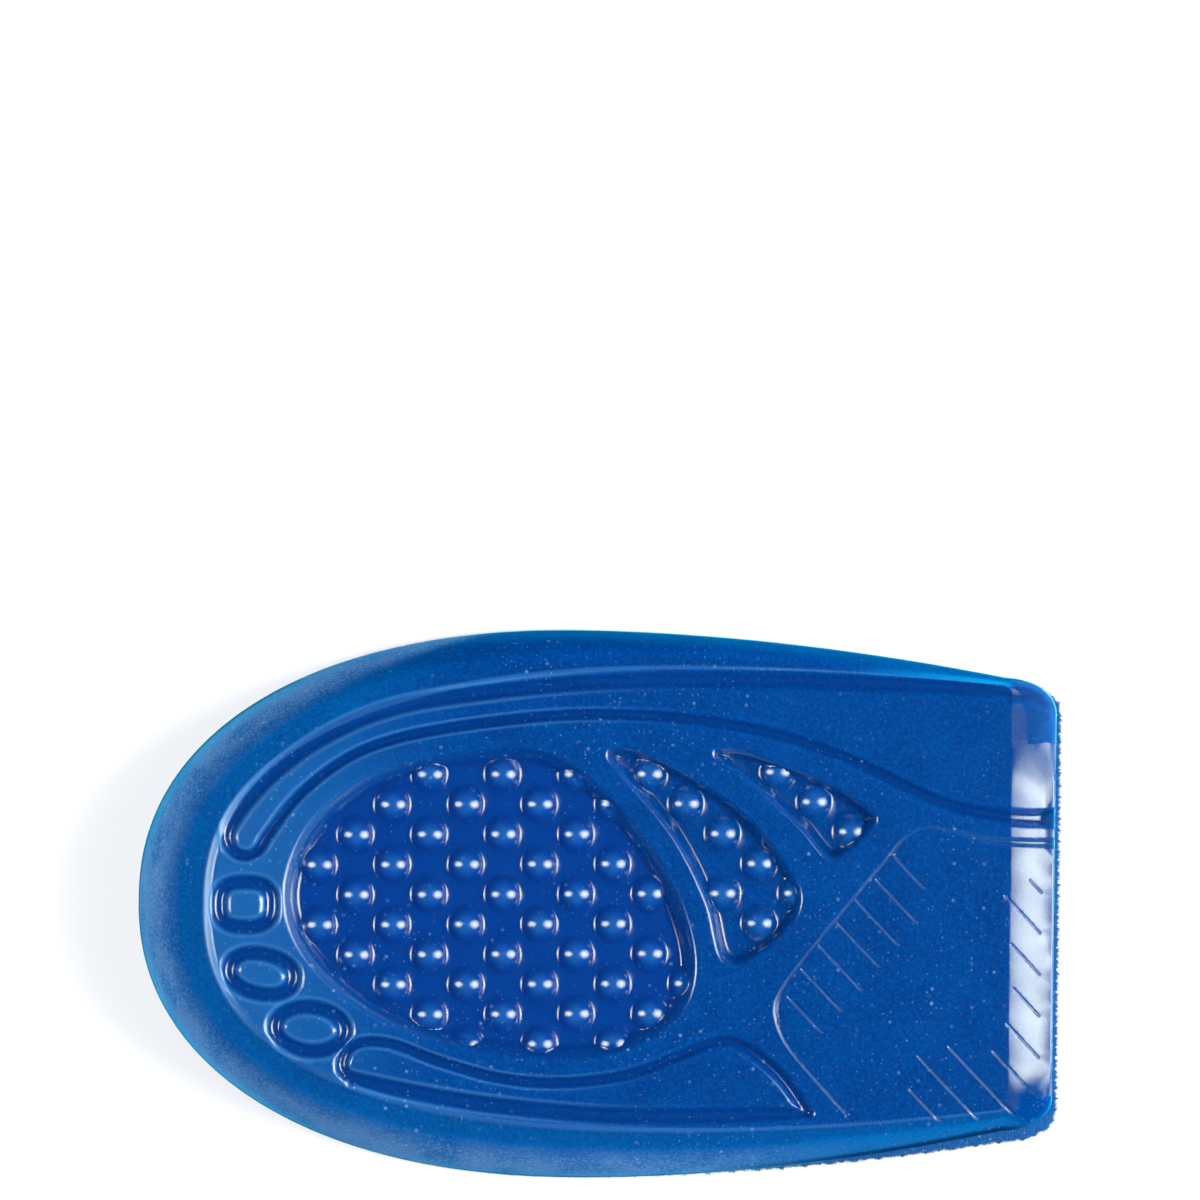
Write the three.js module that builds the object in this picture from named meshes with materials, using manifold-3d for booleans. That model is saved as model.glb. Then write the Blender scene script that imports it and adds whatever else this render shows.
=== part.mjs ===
import * as THREE from "three";
import Module from "manifold-3d";

// A gel heel pad for the left foot, lying sole side up with its rim on the ground.
// Millimetres. +X runs from the heel to the thin front edge, +Y to the side of the long wing, +Z is up.

// Height of the sole plane at mid length, and its fall for each millimetre towards the front
const SOLE_MID = 11;
const SOLE_FALL = 0.14;

// Cloth cover on the foot side, the clearance over it, and the gel's thickness at its outer edge
const COVER_THICK = 1.3;
const SEAT_GAP = 0.3;
const EDGE_THICK = 0.8;

// Stations along each stretch of a plan loop
const HEEL_STEPS = 13;
const SIDE_STEPS = 7;
const CORNER_STEPS = 4;
const FRONT_STEPS = 6;

// Power of the curve by which the sides close in towards the front
const SIDE_POWER = 1.86;

// Plan loops. wideX and wide place the widest station of a side, fall is the half width lost from there
// to the front corner, and round is the fullness of the heel on that side.
const GEL_LOOP = {
  back: -55,
  front: 54.5,
  cornerLength: 6,
  cornerDepth: 4,
  plusY: { wideX: -2.8, wide: 32.7, fall: 5.1, round: 2.2 },
  minusY: { wideX: -2.8, wide: 32.7, fall: 6.2, round: 2.2 },
};
const COVER_LOOP = {
  back: -54.5,
  front: 55,
  cornerLength: 6,
  cornerDepth: 3.6,
  plusY: { wideX: -2.8, wide: 32.3, fall: 5.2, round: 2.2 },
  minusY: { wideX: -2.8, wide: 32.5, fall: 4.7, round: 2.2 },
};
const SOLE_LOOP = {
  back: -47.2,
  front: 49.8,
  cornerLength: 1.6,
  cornerDepth: 1,
  plusY: { wideX: 15, wide: 28.3, fall: 1.5, round: 2.4 },
  minusY: { wideX: 10.6, wide: 26.3, fall: 2.3, round: 2.5 },
};

// Section of the rim from the sole to the outer edge, as shares of its width and of its height
const RIM_SECTION = [
  { across: 0, down: 0 },
  { across: 0.12, down: 0.045 },
  { across: 0.36, down: 0.085 },
  { across: 0.62, down: 0.2 },
  { across: 0.82, down: 0.42 },
  { across: 0.95, down: 0.72 },
  { across: 1, down: 1 },
];

// The dish that the heel sits in: an egg-shaped plan with its centre at x, and its depth there
const CUP = {
  x: -12,
  back: 39.5,
  front: 62,
  half: 29.3,
  depth: 7,
  fall: 0.09,
  flatness: 3.2,
  blend: 1.3,
};
const CUP_LEVELS = [0.2, 0.45, 0.62, 0.76, 0.88, 0.96, 1];

// Sunk fields that hold the nubs: top edges as closed curves through [x, y]. A nub stands where its centre
// is at least nubInset inside the edge.
const FIELD_DEPTH = 1.6;
const FIELDS = {
  heel: {
    wall: 1,
    steps: 42,
    nubInset: 0.34,
    nubShift: [0, 0],
    edge: [
      [-37.2, 1.2],
      [-35.2, -5.5],
      [-26, -13.6],
      [-11.5, -17.8],
      [2.7, -17.4],
      [9.7, -12.8],
      [11.5, -7.1],
      [8.4, 3.3],
      [0.4, 13.8],
      [-6.2, 18.1],
      [-12.6, 18.6],
      [-26.9, 15.4],
      [-34.5, 9],
    ],
  },
  longFin: {
    wall: 0.5,
    steps: 34,
    nubInset: 0.34,
    nubShift: [0, 0],
    edge: [
      [1, 18.1],
      [2.85, 15.7],
      [9, 8.3],
      [13, 0.5],
      [15, -6.2],
      [16.8, -6.8],
      [22.6, -2.5],
      [24, 1.3],
      [21.2, 6.6],
      [15, 12.9],
      [5.2, 18.2],
      [2.4, 18.9],
    ],
  },
  shortFin: {
    wall: 0.5,
    steps: 28,
    nubInset: 0.34,
    nubShift: [-2.15, 0.18],
    edge: [
      [13.7, 18.3],
      [17.5, 15.4],
      [23.9, 9.9],
      [27.6, 5.9],
      [28.8, 6.1],
      [32.4, 9.5],
      [32.9, 10.8],
      [28.5, 14.2],
      [19.9, 17.6],
      [15.2, 18.9],
    ],
  },
};

// Nubs: low domes on a staggered lattice that all fields share
const NUB = { radius: 2.15, height: 1.45, root: 0.4, sides: 8, turn: 0.0119 };
const NUB_LATTICE = { x: -29.04, y: 1.02, stepX: 4.366, stepY: 3.576, reach: 18 };
const NUB_SECTION = [
  { out: 1, up: 0 },
  { out: 0.84, up: 0.6 },
  { out: 0.42, up: 1 },
];

// Grooves that bound the raised wings, as open curves through [x, y, width]
const GROOVE_DEPTH = 0.75;
const GROOVE_STEPS = 2;
const GROOVE_FLOOR = 0.5; // width of a groove's floor, as a share of its width at the surface
const GROOVES = {
  longWing: [
    [56, 23.8, 1.6],
    [52.5, 25.3, 1.6],
    [49.2, 26, 1.7],
    [29.5, 26.9, 1.8],
    [14.9, 27.1, 1.9],
    [0.2, 26.7, 1.9],
    [-12.6, 25.4, 1.9],
    [-24.2, 23.4, 1.9],
    [-31.6, 20.4, 1.9],
    [-38, 16, 1.9],
    [-42.7, 10.9, 1.9],
    [-44.1, 7.9, 1.5],
    [-43.3, 6.1, 1.3],
    [-41.9, 5.6, 1.2],
    [-40.5, 6.2, 1.1],
    [-39.4, 7.9, 1.1],
    [-35.7, 12.8, 1],
    [-30, 17.3, 1],
    [-24.1, 19.7, 1],
    [-9.5, 22.2, 1],
    [0.3, 22.8, 1],
    [10, 22.4, 1],
    [19.8, 20.9, 1],
    [28.5, 18.2, 1],
    [40.4, 12.9, 1.1],
    [44, 11.9, 1.2],
    [49.9, 11, 1.4],
    [56, 10.9, 1.6],
  ],
  shortWing: [
    [-29, -20.9, 1.3],
    [-30.2, -19.4, 1.2],
    [-29.6, -17.4, 1.1],
    [-27.7, -16.4, 1],
    [-24.5, -16.6, 1],
    [-18.9, -18.6, 1],
    [-11.5, -20.6, 1],
    [-4.1, -21.1, 1],
    [4.4, -19.9, 1],
    [9.3, -18, 1],
    [14.2, -16.1, 1],
    [16.6, -16.2, 1],
    [20.8, -19, 1],
    [22.8, -21.1, 1],
    [25, -24.3, 1],
  ],
  shortWingSide: [
    [-29.6, -20.4, 1.2],
    [-27, -21.2, 1.7],
    [-20.3, -22.6, 1.9],
    [-11.5, -23.9, 1.9],
    [0.8, -24.9, 1.9],
    [11, -25, 1.9],
    [20, -24.7, 1.6],
    [25.2, -24.5, 0.9],
  ],
};

// Ring moats round three small raised cells at the heel; square is the fullness of their corners
const CELL_STEPS = 20;
const CELLS = [
  { x: -41.9, y: -0.2, halfLong: 3.1, halfAcross: 2.65, moat: 1.8, square: 2.8, turn: 0 },
  { x: -39.9, y: -8.4, halfLong: 3.8, halfAcross: 2.35, moat: 1.8, square: 2.2, turn: -0.2 },
  { x: -34.1, y: -14.9, halfLong: 4.1, halfAcross: 2.6, moat: 1.8, square: 2, turn: -0.09 },
];

// Front panel: its engraved edge, and hatching by lines of one slope, each from one x to another
const PANEL_LINE = { width: 0.7, depth: 0.35 };
const PANEL_EDGE = [
  [56, 7.9],
  [47.6, 8.2],
  [42.8, 9.2],
  [38.8, 9.6],
  [36.6, 8.4],
  [34.7, 6.1],
  [21.8, -10.3],
  [21.3, -12.4],
  [22.4, -15.8],
  [27.3, -21.7],
  [30, -24.6],
];
const HATCH = { width: 0.5, depth: 0.25, angle: -0.803, pitch: 3.45 };
const HATCH_BY_EDGE = {
  first: 9,
  steps: 1,
  lines: [
    { line: 0, from: 22.8, to: 26.8 },
    { line: 1, from: 24.4, to: 29.1 },
    { line: 2, from: 26.4, to: 31.5 },
    { line: 3, from: 28.5, to: 33.6 },
    { line: 4, from: 30.8, to: 35.9 },
    { line: 5, from: 33.2, to: 38.1 },
    { line: 6, from: 35.1, to: 38.9 },
  ],
};
const HATCH_AT_FRONT = {
  first: 8.5,
  steps: 3,
  lines: [
    { line: 1, from: 37.5, to: 41 },
    { line: 2, from: 38.4, to: 45.6 },
    { line: 3, from: 42.1, to: 50 },
    { line: 4, from: 47.4, to: 53.5 },
    { line: 5, from: 49, to: 56 },
    { line: 6, from: 49.7, to: 56 },
    { line: 7, from: 49.4, to: 56 },
    { line: 8, from: 48.6, to: 56 },
    { line: 9, from: 51.6, to: 56 },
  ],
};

// Booleans: how far a cutter stands above the surface that it cuts
const CUT_LIFT = 0.6;

const wasm = await Module();
wasm.setup();

const lerp = THREE.MathUtils.lerp;

// A closed solid from shared corners and triangles, with its faces turned outwards.
function solid(corners, faces) {
  let volume = 0;
  for (const [a, b, c] of faces) {
    volume += corners[a].dot(new THREE.Vector3().crossVectors(corners[b], corners[c]));
  }
  const outward = volume < 0 ? faces.map(([a, b, c]) => [a, c, b]) : faces;
  const vertProperties = new Float32Array(corners.flatMap((p) => [p.x, p.y, p.z]));
  const triVerts = new Uint32Array(outward.flat());
  return new wasm.Manifold(new wasm.Mesh({ numProp: 3, vertProperties, triVerts }));
}

// Triangles over one ring of corners, seen in plan; first is the index of its first corner.
function capFaces(ring, first) {
  const flat = ring.map((p) => new THREE.Vector2(p.x, p.y));
  return THREE.ShapeUtils.triangulateShape(flat, []).map(([a, b, c]) => {
    const ab = flat[b].clone().sub(flat[a]);
    const ac = flat[c].clone().sub(flat[a]);
    const turned = ab.cross(ac) < 0 ? [a, c, b] : [a, b, c];
    return turned.map((i) => i + first);
  });
}

// Quads between rings of equal length; joined closes the last ring on the first.
function ringFaces(ringCount, size, joined) {
  const faces = [];
  for (let r = 0; r < (joined ? ringCount : ringCount - 1); r++) {
    const low = r * size;
    const high = ((r + 1) % ringCount) * size;
    for (let i = 0; i < size; i++) {
      const next = (i + 1) % size;
      faces.push([low + i, low + next, high + next], [low + i, high + next, high + i]);
    }
  }
  return faces;
}

// A solid skinned over rings that follow each other, closed by a cap on the first and the last.
function loft(rings) {
  const size = rings[0].length;
  const last = (rings.length - 1) * size;
  const under = capFaces(rings[0], 0).map(([a, b, c]) => [a, c, b]);
  const over = capFaces(rings.at(-1), last);
  return solid(rings.flat(), [...ringFaces(rings.length, size, false), ...under, ...over]);
}

// A solid skinned over four-cornered sections along a path, ended by quads or joined end to end.
function sweep(sections, joined) {
  const size = 4;
  const last = (sections.length - 1) * size;
  const ends = [
    [0, 2, 1],
    [0, 3, 2],
    [last, last + 1, last + 2],
    [last, last + 2, last + 3],
  ];
  return solid(sections.flat(), [...ringFaces(sections.length, size, joined), ...(joined ? [] : ends)]);
}

// One side of a plan loop, from the heel's back to the front: sign is that of its Y.
function loopSide(loop, side, sign) {
  const power = 2 / side.round;
  const cornerX = loop.front - loop.cornerLength;
  const run = [];
  for (let i = 0; i <= HEEL_STEPS; i++) {
    const angle = ((i / HEEL_STEPS) * Math.PI) / 2;
    const x = side.wideX - (side.wideX - loop.back) * Math.max(0, Math.cos(angle)) ** power;
    run.push(new THREE.Vector2(x, sign * side.wide * Math.sin(angle) ** power));
  }
  for (let i = 1; i <= SIDE_STEPS; i++) {
    const share = i / SIDE_STEPS;
    const half = side.wide - side.fall * share ** SIDE_POWER;
    run.push(new THREE.Vector2(lerp(side.wideX, cornerX, share), sign * half));
  }
  for (let i = 1; i <= CORNER_STEPS; i++) {
    const angle = ((i / CORNER_STEPS) * Math.PI) / 2;
    const half = side.wide - side.fall - loop.cornerDepth * (1 - Math.cos(angle));
    run.push(new THREE.Vector2(cornerX + loop.cornerLength * Math.sin(angle), sign * half));
  }
  return run;
}

// A whole plan loop, anticlockwise from the heel's back.
function planLoop(loop) {
  const right = loopSide(loop, loop.minusY, -1);
  const left = loopSide(loop, loop.plusY, 1);
  const front = [];
  for (let i = 1; i < FRONT_STEPS; i++) {
    front.push(right.at(-1).clone().lerp(left.at(-1), i / FRONT_STEPS));
  }
  return [...right, ...front, ...left.slice(1).reverse()];
}

const soleHeight = (x) => SOLE_MID - SOLE_FALL * x;
const EDGE_TOP = COVER_THICK + SEAT_GAP + EDGE_THICK;

// Share of the rim's height lost at a share of its width.
function rimDrop(across) {
  const at = THREE.MathUtils.clamp(across, 0, 1);
  const next = Math.max(
    1,
    RIM_SECTION.findIndex((row) => row.across >= at),
  );
  const [low, high] = [RIM_SECTION[next - 1], RIM_SECTION[next]];
  return lerp(low.down, high.down, (at - low.across) / (high.across - low.across));
}

// Height of the sole side at x, with its bend down to the front edge.
function topHeight(x) {
  if (x <= SOLE_LOOP.front) {
    return soleHeight(x);
  }
  const across = (x - SOLE_LOOP.front) / (GEL_LOOP.front - SOLE_LOOP.front);
  return lerp(soleHeight(SOLE_LOOP.front), EDGE_TOP, rimDrop(across));
}

// Height of the dish's cloth surface at a level of its egg-shaped plan, 0 at the middle and 1 at the rim.
function cupHeight(x, level) {
  const depth = CUP.depth - CUP.fall * (x - CUP.x);
  return depth * (1 - level ** CUP.flatness) ** CUP.blend;
}

// Rings of the dish along the rays from its centre to a plan loop, raised by lift, then the loop itself.
function cupRings(loop, lift) {
  const rays = loop.map((p) => new THREE.Vector2(p.x - CUP.x, p.y).normalize());
  const rings = CUP_LEVELS.map((level) =>
    rays.map((ray) => {
      const reach = 1 / Math.hypot(ray.x / (ray.x < 0 ? CUP.back : CUP.front), ray.y / CUP.half);
      const x = CUP.x + ray.x * reach * level;
      return new THREE.Vector3(x, ray.y * reach * level, cupHeight(x, level) + lift);
    }),
  );
  return [...rings, loop.map((p) => new THREE.Vector3(p.x, p.y, lift))];
}

// The gel without its relief: dish below, rounded rim, and the flat sole above.
function gelBlank() {
  const edge = planLoop(GEL_LOOP);
  const sole = planLoop(SOLE_LOOP);
  const rim = RIM_SECTION.map(({ across, down }) =>
    sole.map((p, i) => {
      const q = p.clone().lerp(edge[i], across);
      return new THREE.Vector3(q.x, q.y, lerp(soleHeight(p.x), EDGE_TOP, down));
    }),
  );
  return loft([...cupRings(edge, COVER_THICK + SEAT_GAP), ...rim.reverse()]);
}

// The cloth cover: a sheet of even thickness over the dish and its rim.
function coverSheet() {
  const edge = planLoop(COVER_LOOP);
  return loft([...cupRings(edge, 0), ...cupRings(edge, COVER_THICK).reverse()]);
}

// Points of a closed curve through [x, y] rows, evenly spaced.
function loopPoints(rows, steps) {
  const through = rows.map(([x, y]) => new THREE.Vector3(x, y, 0));
  return new THREE.CatmullRomCurve3(through, true, "centripetal").getSpacedPoints(steps).slice(0, -1);
}

// Points of an open curve through [x, y, width] rows, with the width as their z.
function pathPoints(rows) {
  const through = rows.map(([x, y, width]) => new THREE.Vector3(x, y, width));
  const curve = new THREE.CatmullRomCurve3(through, false, "centripetal");
  return curve.getPoints(GROOVE_STEPS * (rows.length - 1));
}

// Unit sideways direction at each point of a path, to the left of the way along it.
function sideways(points, joined) {
  const count = points.length;
  return points.map((p, i) => {
    const before = points[joined ? (i + count - 1) % count : Math.max(0, i - 1)];
    const after = points[joined ? (i + 1) % count : Math.min(count - 1, i + 1)];
    return new THREE.Vector2(before.y - after.y, after.x - before.x).normalize();
  });
}

// A cutter for a groove along points whose z is the groove's width at the surface.
function groove(points, depth, joined = false) {
  const across = sideways(points, joined);
  const sections = points.map((p, i) => {
    const half = p.z / 2;
    const floor = half * GROOVE_FLOOR;
    const mouth = half + ((half - floor) * CUT_LIFT) / depth;
    const corner = (offset, down) => {
      const x = p.x + across[i].x * offset;
      return new THREE.Vector3(x, p.y + across[i].y * offset, topHeight(x) - down);
    };
    return [corner(-mouth, -CUT_LIFT), corner(-floor, depth), corner(floor, depth), corner(mouth, -CUT_LIFT)];
  });
  return sweep(sections, joined);
}

// A closed run of points moved inwards, at a depth below the sole.
function insetRing(edge, inset, down) {
  const across = sideways(edge, true);
  return edge.map((p, i) => {
    const x = p.x + across[i].x * inset;
    return new THREE.Vector3(x, p.y + across[i].y * inset, soleHeight(x) - down);
  });
}

// A cutter for a sunk field: sloped walls under its top edge, and a floor that follows the sole.
function fieldCutter(field, edge) {
  const ring = (inset, down) => insetRing(edge, inset, down);
  const flare = (field.wall * CUT_LIFT) / FIELD_DEPTH;
  return loft([ring(field.wall, FIELD_DEPTH), ring(0, 0), ring(-flare, -CUT_LIFT)]);
}

// True where a plan point lies inside a closed run of points.
function isInside(x, y, edge) {
  let inside = false;
  edge.forEach((a, i) => {
    const b = edge[(i + 1) % edge.length];
    if (a.y > y !== b.y > y && x < a.x + ((y - a.y) / (b.y - a.y)) * (b.x - a.x)) {
      inside = !inside;
    }
  });
  return inside;
}

// Centres of the nubs that stand in a field.
function nubCentres(field, edge) {
  const { x, y, stepX, stepY, reach } = NUB_LATTICE;
  const [shiftX, shiftY] = field.nubShift;
  const inset = insetRing(edge, field.nubInset, 0);
  const centres = [];
  for (let row = -reach; row <= reach; row++) {
    for (let column = -reach; column <= reach; column++) {
      const alongX = column * stepX;
      const alongY = row * stepY;
      const nubX = x + shiftX + alongX - NUB.turn * alongY;
      const nubY = y + shiftY + alongY + NUB.turn * alongX;
      if ((row + column) % 2 === 0 && isInside(nubX, nubY, inset)) {
        centres.push(new THREE.Vector2(nubX, nubY));
      }
    }
  }
  return centres;
}

// A dome that stands on a field's floor, rooted below it.
function nub(centre) {
  const ring = (out, up) =>
    Array.from({ length: NUB.sides }, (_, i) => {
      const angle = (i / NUB.sides) * 2 * Math.PI;
      const x = centre.x + out * Math.cos(angle);
      const y = centre.y + out * Math.sin(angle);
      return new THREE.Vector3(x, y, soleHeight(x) - FIELD_DEPTH + up);
    });
  const rings = NUB_SECTION.map(({ out, up }) => ring(out * NUB.radius, up * NUB.height));
  return loft([ring(NUB.radius, -NUB.root), ...rings]);
}

// All sunk fields, less the nubs that stand in them.
function fieldCutters() {
  return Object.values(FIELDS).map((field) => {
    const edge = loopPoints(field.edge, field.steps);
    return nubCentres(field, edge).reduce(
      (cutter, centre) => cutter.subtract(nub(centre)),
      fieldCutter(field, edge),
    );
  });
}

// Ring moats round the cells: rounded quadrilaterals by the superellipse formula.
function cellCutters() {
  return CELLS.map(({ x, y, halfLong, halfAcross, moat, square, turn }) => {
    const round = (value) => Math.sign(value) * Math.abs(value) ** (2 / square);
    const ring = Array.from({ length: CELL_STEPS }, (_, i) => {
      const angle = (i / CELL_STEPS) * 2 * Math.PI;
      const point = new THREE.Vector2(halfLong * round(Math.cos(angle)), halfAcross * round(Math.sin(angle)));
      point.rotateAround(new THREE.Vector2(), turn);
      return new THREE.Vector3(x + point.x, y + point.y, moat);
    });
    return groove(ring, GROOVE_DEPTH, true);
  });
}

// One group of hatch lines.
function hatchCutters({ first, steps, lines }) {
  const slope = Math.tan(HATCH.angle);
  return lines.map(({ line, from, to }) => {
    const away = (first + HATCH.pitch * line) / Math.cos(HATCH.angle);
    const points = Array.from({ length: steps + 1 }, (_, i) => {
      const x = lerp(from, to, i / steps);
      return new THREE.Vector3(x, away + slope * x, HATCH.width);
    });
    return groove(points, HATCH.depth);
  });
}

// The panel's edge line and its hatching.
function panelCutters() {
  const rows = PANEL_EDGE.map(([x, y]) => [x, y, PANEL_LINE.width]);
  const edge = groove(pathPoints(rows), PANEL_LINE.depth);
  return [edge, ...hatchCutters(HATCH_BY_EDGE), ...hatchCutters(HATCH_AT_FRONT)];
}

// The moulded gel with all its relief.
function gelPad() {
  const wings = Object.values(GROOVES).map((rows) => groove(pathPoints(rows), GROOVE_DEPTH));
  const cutters = [...fieldCutters(), ...wings, ...cellCutters(), ...panelCutters()];
  return cutters.reduce((body, cutter) => body.subtract(cutter), gelBlank());
}

// A named mesh of a solid.
function meshOf(name, body, finish) {
  const { numProp, vertProperties, triVerts } = body.getMesh();
  const geometry = new THREE.BufferGeometry();
  geometry.setAttribute("position", new THREE.BufferAttribute(vertProperties, numProp));
  geometry.setIndex(new THREE.BufferAttribute(triVerts, 1));
  geometry.computeVertexNormals();
  const mesh = new THREE.Mesh(geometry, new THREE.MeshStandardMaterial(finish));
  mesh.name = name;
  return mesh;
}

const heelPad = new THREE.Group();
heelPad.add(meshOf("gel_pad", gelPad(), { color: 0x014c9d, roughness: 0.35, metalness: 0 }));
heelPad.add(meshOf("top_cover", coverSheet(), { color: 0x2a77b0, roughness: 0.95, metalness: 0 }));

export default heelPad;
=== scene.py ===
"""A gel heel pad for the left foot, lying sole side up on a pale floor.

The gel is one moulded body: sunk fields with nubs, raised wings in grooves, three small cells in moats,
a hatched front panel and a rounded rim. A cloth cover is bonded to its foot side.
Sizes are in millimetres, and become metres where a mesh is made.
"""

import math

import bpy
import numpy as np
from mathutils import Matrix, Vector
from mathutils.geometry import delaunay_2d_cdt


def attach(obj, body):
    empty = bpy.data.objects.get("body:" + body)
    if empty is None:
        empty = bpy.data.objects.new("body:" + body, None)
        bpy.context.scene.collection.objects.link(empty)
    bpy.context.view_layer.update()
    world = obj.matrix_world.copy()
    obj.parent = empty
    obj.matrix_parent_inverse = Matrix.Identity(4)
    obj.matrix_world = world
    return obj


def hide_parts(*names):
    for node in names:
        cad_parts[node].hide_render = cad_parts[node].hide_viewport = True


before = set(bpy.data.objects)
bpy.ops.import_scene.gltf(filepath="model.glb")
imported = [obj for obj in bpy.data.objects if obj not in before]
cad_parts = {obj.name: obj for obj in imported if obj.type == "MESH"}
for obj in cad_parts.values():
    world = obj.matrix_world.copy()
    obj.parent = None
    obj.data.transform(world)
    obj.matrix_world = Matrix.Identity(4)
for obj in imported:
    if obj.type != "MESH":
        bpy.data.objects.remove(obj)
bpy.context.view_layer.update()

MM = 0.001

# Sizes of the pad, and values of its finishes and of the studio

# Height of the sole plane at mid length, and its fall for each millimetre towards the front
SOLE_MID = 11
SOLE_FALL = 0.14

# Heights on the foot side: the cloth's two faces, the gel's underside and the top of its thin outer edge
CLOTH_TOP = 1.5
GEL_UNDER = 1.6
EDGE_TOP = 2.4
FRONT_EDGE_TOP = 2.05
EDGE_WALL = 0.35
LEAST_GEL = 0.35

# The gel's low edge: least height of its wall's foot, the height and reach of its bulge, and its flat brim
EDGE_FOOT = 0.2
BULGE_FOOT = 0.12
EDGE_BULGE = 0.066
BRIM = 0.25

# Stations along each stretch of a plan loop, and evenly spaced points on a side and across the front
HEEL_STEPS = 3000
FLANK_STEPS = 3000
CORNER_STEPS = 800
SIDE_POINTS = 230
FRONT_POINTS = 190
SIDE_POWER = 1.86

# Plan loops. wideX and wide place the widest station of a side, fall is the half width lost from there
# to the front corner, and round is the fullness of the heel on that side.
GEL_LOOP = {
    "back": -55, "front": 54.5, "cornerLength": 6, "cornerDepth": 4,
    "plusY": {"wideX": -2.8, "wide": 32.7, "fall": 5.1, "round": 2.2},
    "minusY": {"wideX": -2.8, "wide": 32.7, "fall": 6.2, "round": 2.2},
}
COVER_LOOP = {
    "back": -54.5, "front": 55, "cornerLength": 6, "cornerDepth": 3.6,
    "plusY": {"wideX": -2.8, "wide": 32.3, "fall": 5.2, "round": 2.2},
    "minusY": {"wideX": -2.8, "wide": 32.5, "fall": 4.7, "round": 2.2},
}
SOLE_LOOP = {
    "back": -45.8, "front": 49.2, "cornerLength": 1.6, "cornerDepth": 1,
    "plusY": {"wideX": 15, "wide": 28.3, "fall": 1.5, "round": 2.4},
    "minusY": {"wideX": 10.6, "wide": 26.3, "fall": 2.3, "round": 2.5},
}

# Section of the rim from the sole to the outer edge, as (share of its width, share of its height),
# on the heel and sides, and across the thin front
RIM_SECTION = [
    (0, 0), (0.025, 0.004), (0.05, 0.012), (0.08, 0.02), (0.11, 0.0235), (0.16, 0.025), (0.28, 0.028),
    (0.4, 0.033), (0.46, 0.045), (0.52, 0.075), (0.58, 0.12), (0.65, 0.185), (0.73, 0.275), (0.8, 0.37),
    (0.87, 0.49), (0.93, 0.635), (0.97, 0.79), (1, 1),
]
FRONT_SECTION = [
    (0, 0), (0.02, 0.01), (0.3, 0.24), (0.55, 0.53), (0.76, 0.83), (0.8, 0.87), (0.9, 0.9), (0.96, 0.93),
    (1, 1),
]
FRONT_END_SECTION = [(0, 0), (0.45, 0.11), (0.89, 0.22), (0.95, 0.52), (1, 1)]

# The front's bevel is straight as far as start from y 0, and rounded off over turn from there
FRONT_STRAIGHT = {"plusY": {"start": 15, "turn": 6.5}, "minusY": {"start": 18.5, "turn": 5}}

# The dish that the heel sits in: an egg-shaped plan with its centre at x, and its depth there
CUP = {
    "x": -12, "back": 39.5, "front": 62, "half": 29.3,
    "depth": 7, "fall": 0.09, "flatness": 3.2, "blend": 1.3,
}
CUP_LEVELS = [0.06, 0.16, 0.26, 0.36, 0.46, 0.55, 0.63, 0.7, 0.76, 0.81, 0.86, 0.9, 0.935, 0.965, 0.985, 1]

# Sunk fields that hold the nubs: top edges as closed curves through (x, y)
FIELD_DEPTH = 1.6
FIELD_LIP = 0.45
WALL_SHOULDER = 0.6
STEP_SPREAD = 0.58
FIELDS = {
    "heel": {
        "wall": 1.7, "steps": 2, "nubShift": (0, 0),
        "edge": [
            (-37.2, 1.2), (-35.2, -5.5), (-26, -13.6), (-11.5, -17.8), (2.7, -17.4), (9.7, -12.8),
            (11.5, -7.1), (8.4, 3.3), (0.4, 13.8), (-6.2, 18.1), (-12.6, 18.6), (-26.9, 15.4), (-34.5, 9),
        ],
    },
    "longFin": {
        "wall": 1.1, "steps": 1, "nubShift": (0, 0),
        "edge": [
            (1, 18.1), (2.85, 15.7), (9, 8.3), (13, 0.5), (15, -6.2), (16.8, -6.8), (22.6, -2.5), (24, 1.3),
            (21.2, 6.6), (15, 12.9), (5.2, 18.2), (2.4, 18.9),
        ],
    },
    "shortFin": {
        "wall": 1.1, "steps": 1, "nubShift": (-2.15, 0.18),
        "edge": [
            (13.7, 18.3), (17.5, 15.4), (23.9, 9.9), (27.6, 5.9), (28.8, 6.1), (32.4, 9.5), (32.9, 10.8),
            (28.5, 14.2), (19.9, 17.6), (15.2, 18.9),
        ],
    },
}

# Nubs: domes with a hollow foot, on a staggered lattice that all fields share
NUB = {"dome": 2.8, "foot": 0.8, "slope": 0.772, "sink": 0.02, "root": 0.6, "inset": 0.34}
NUB_MESH = {"sides": 26, "rings": 16, "domeRings": 8, "footRings": 5, "slack": 0.0001, "rootFrom": 0.01}
NUB_LATTICE = {"x": -28.9, "y": 1.02, "stepX": 4.366, "stepY": 3.576, "reach": 18, "turn": 0.0119}

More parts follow.
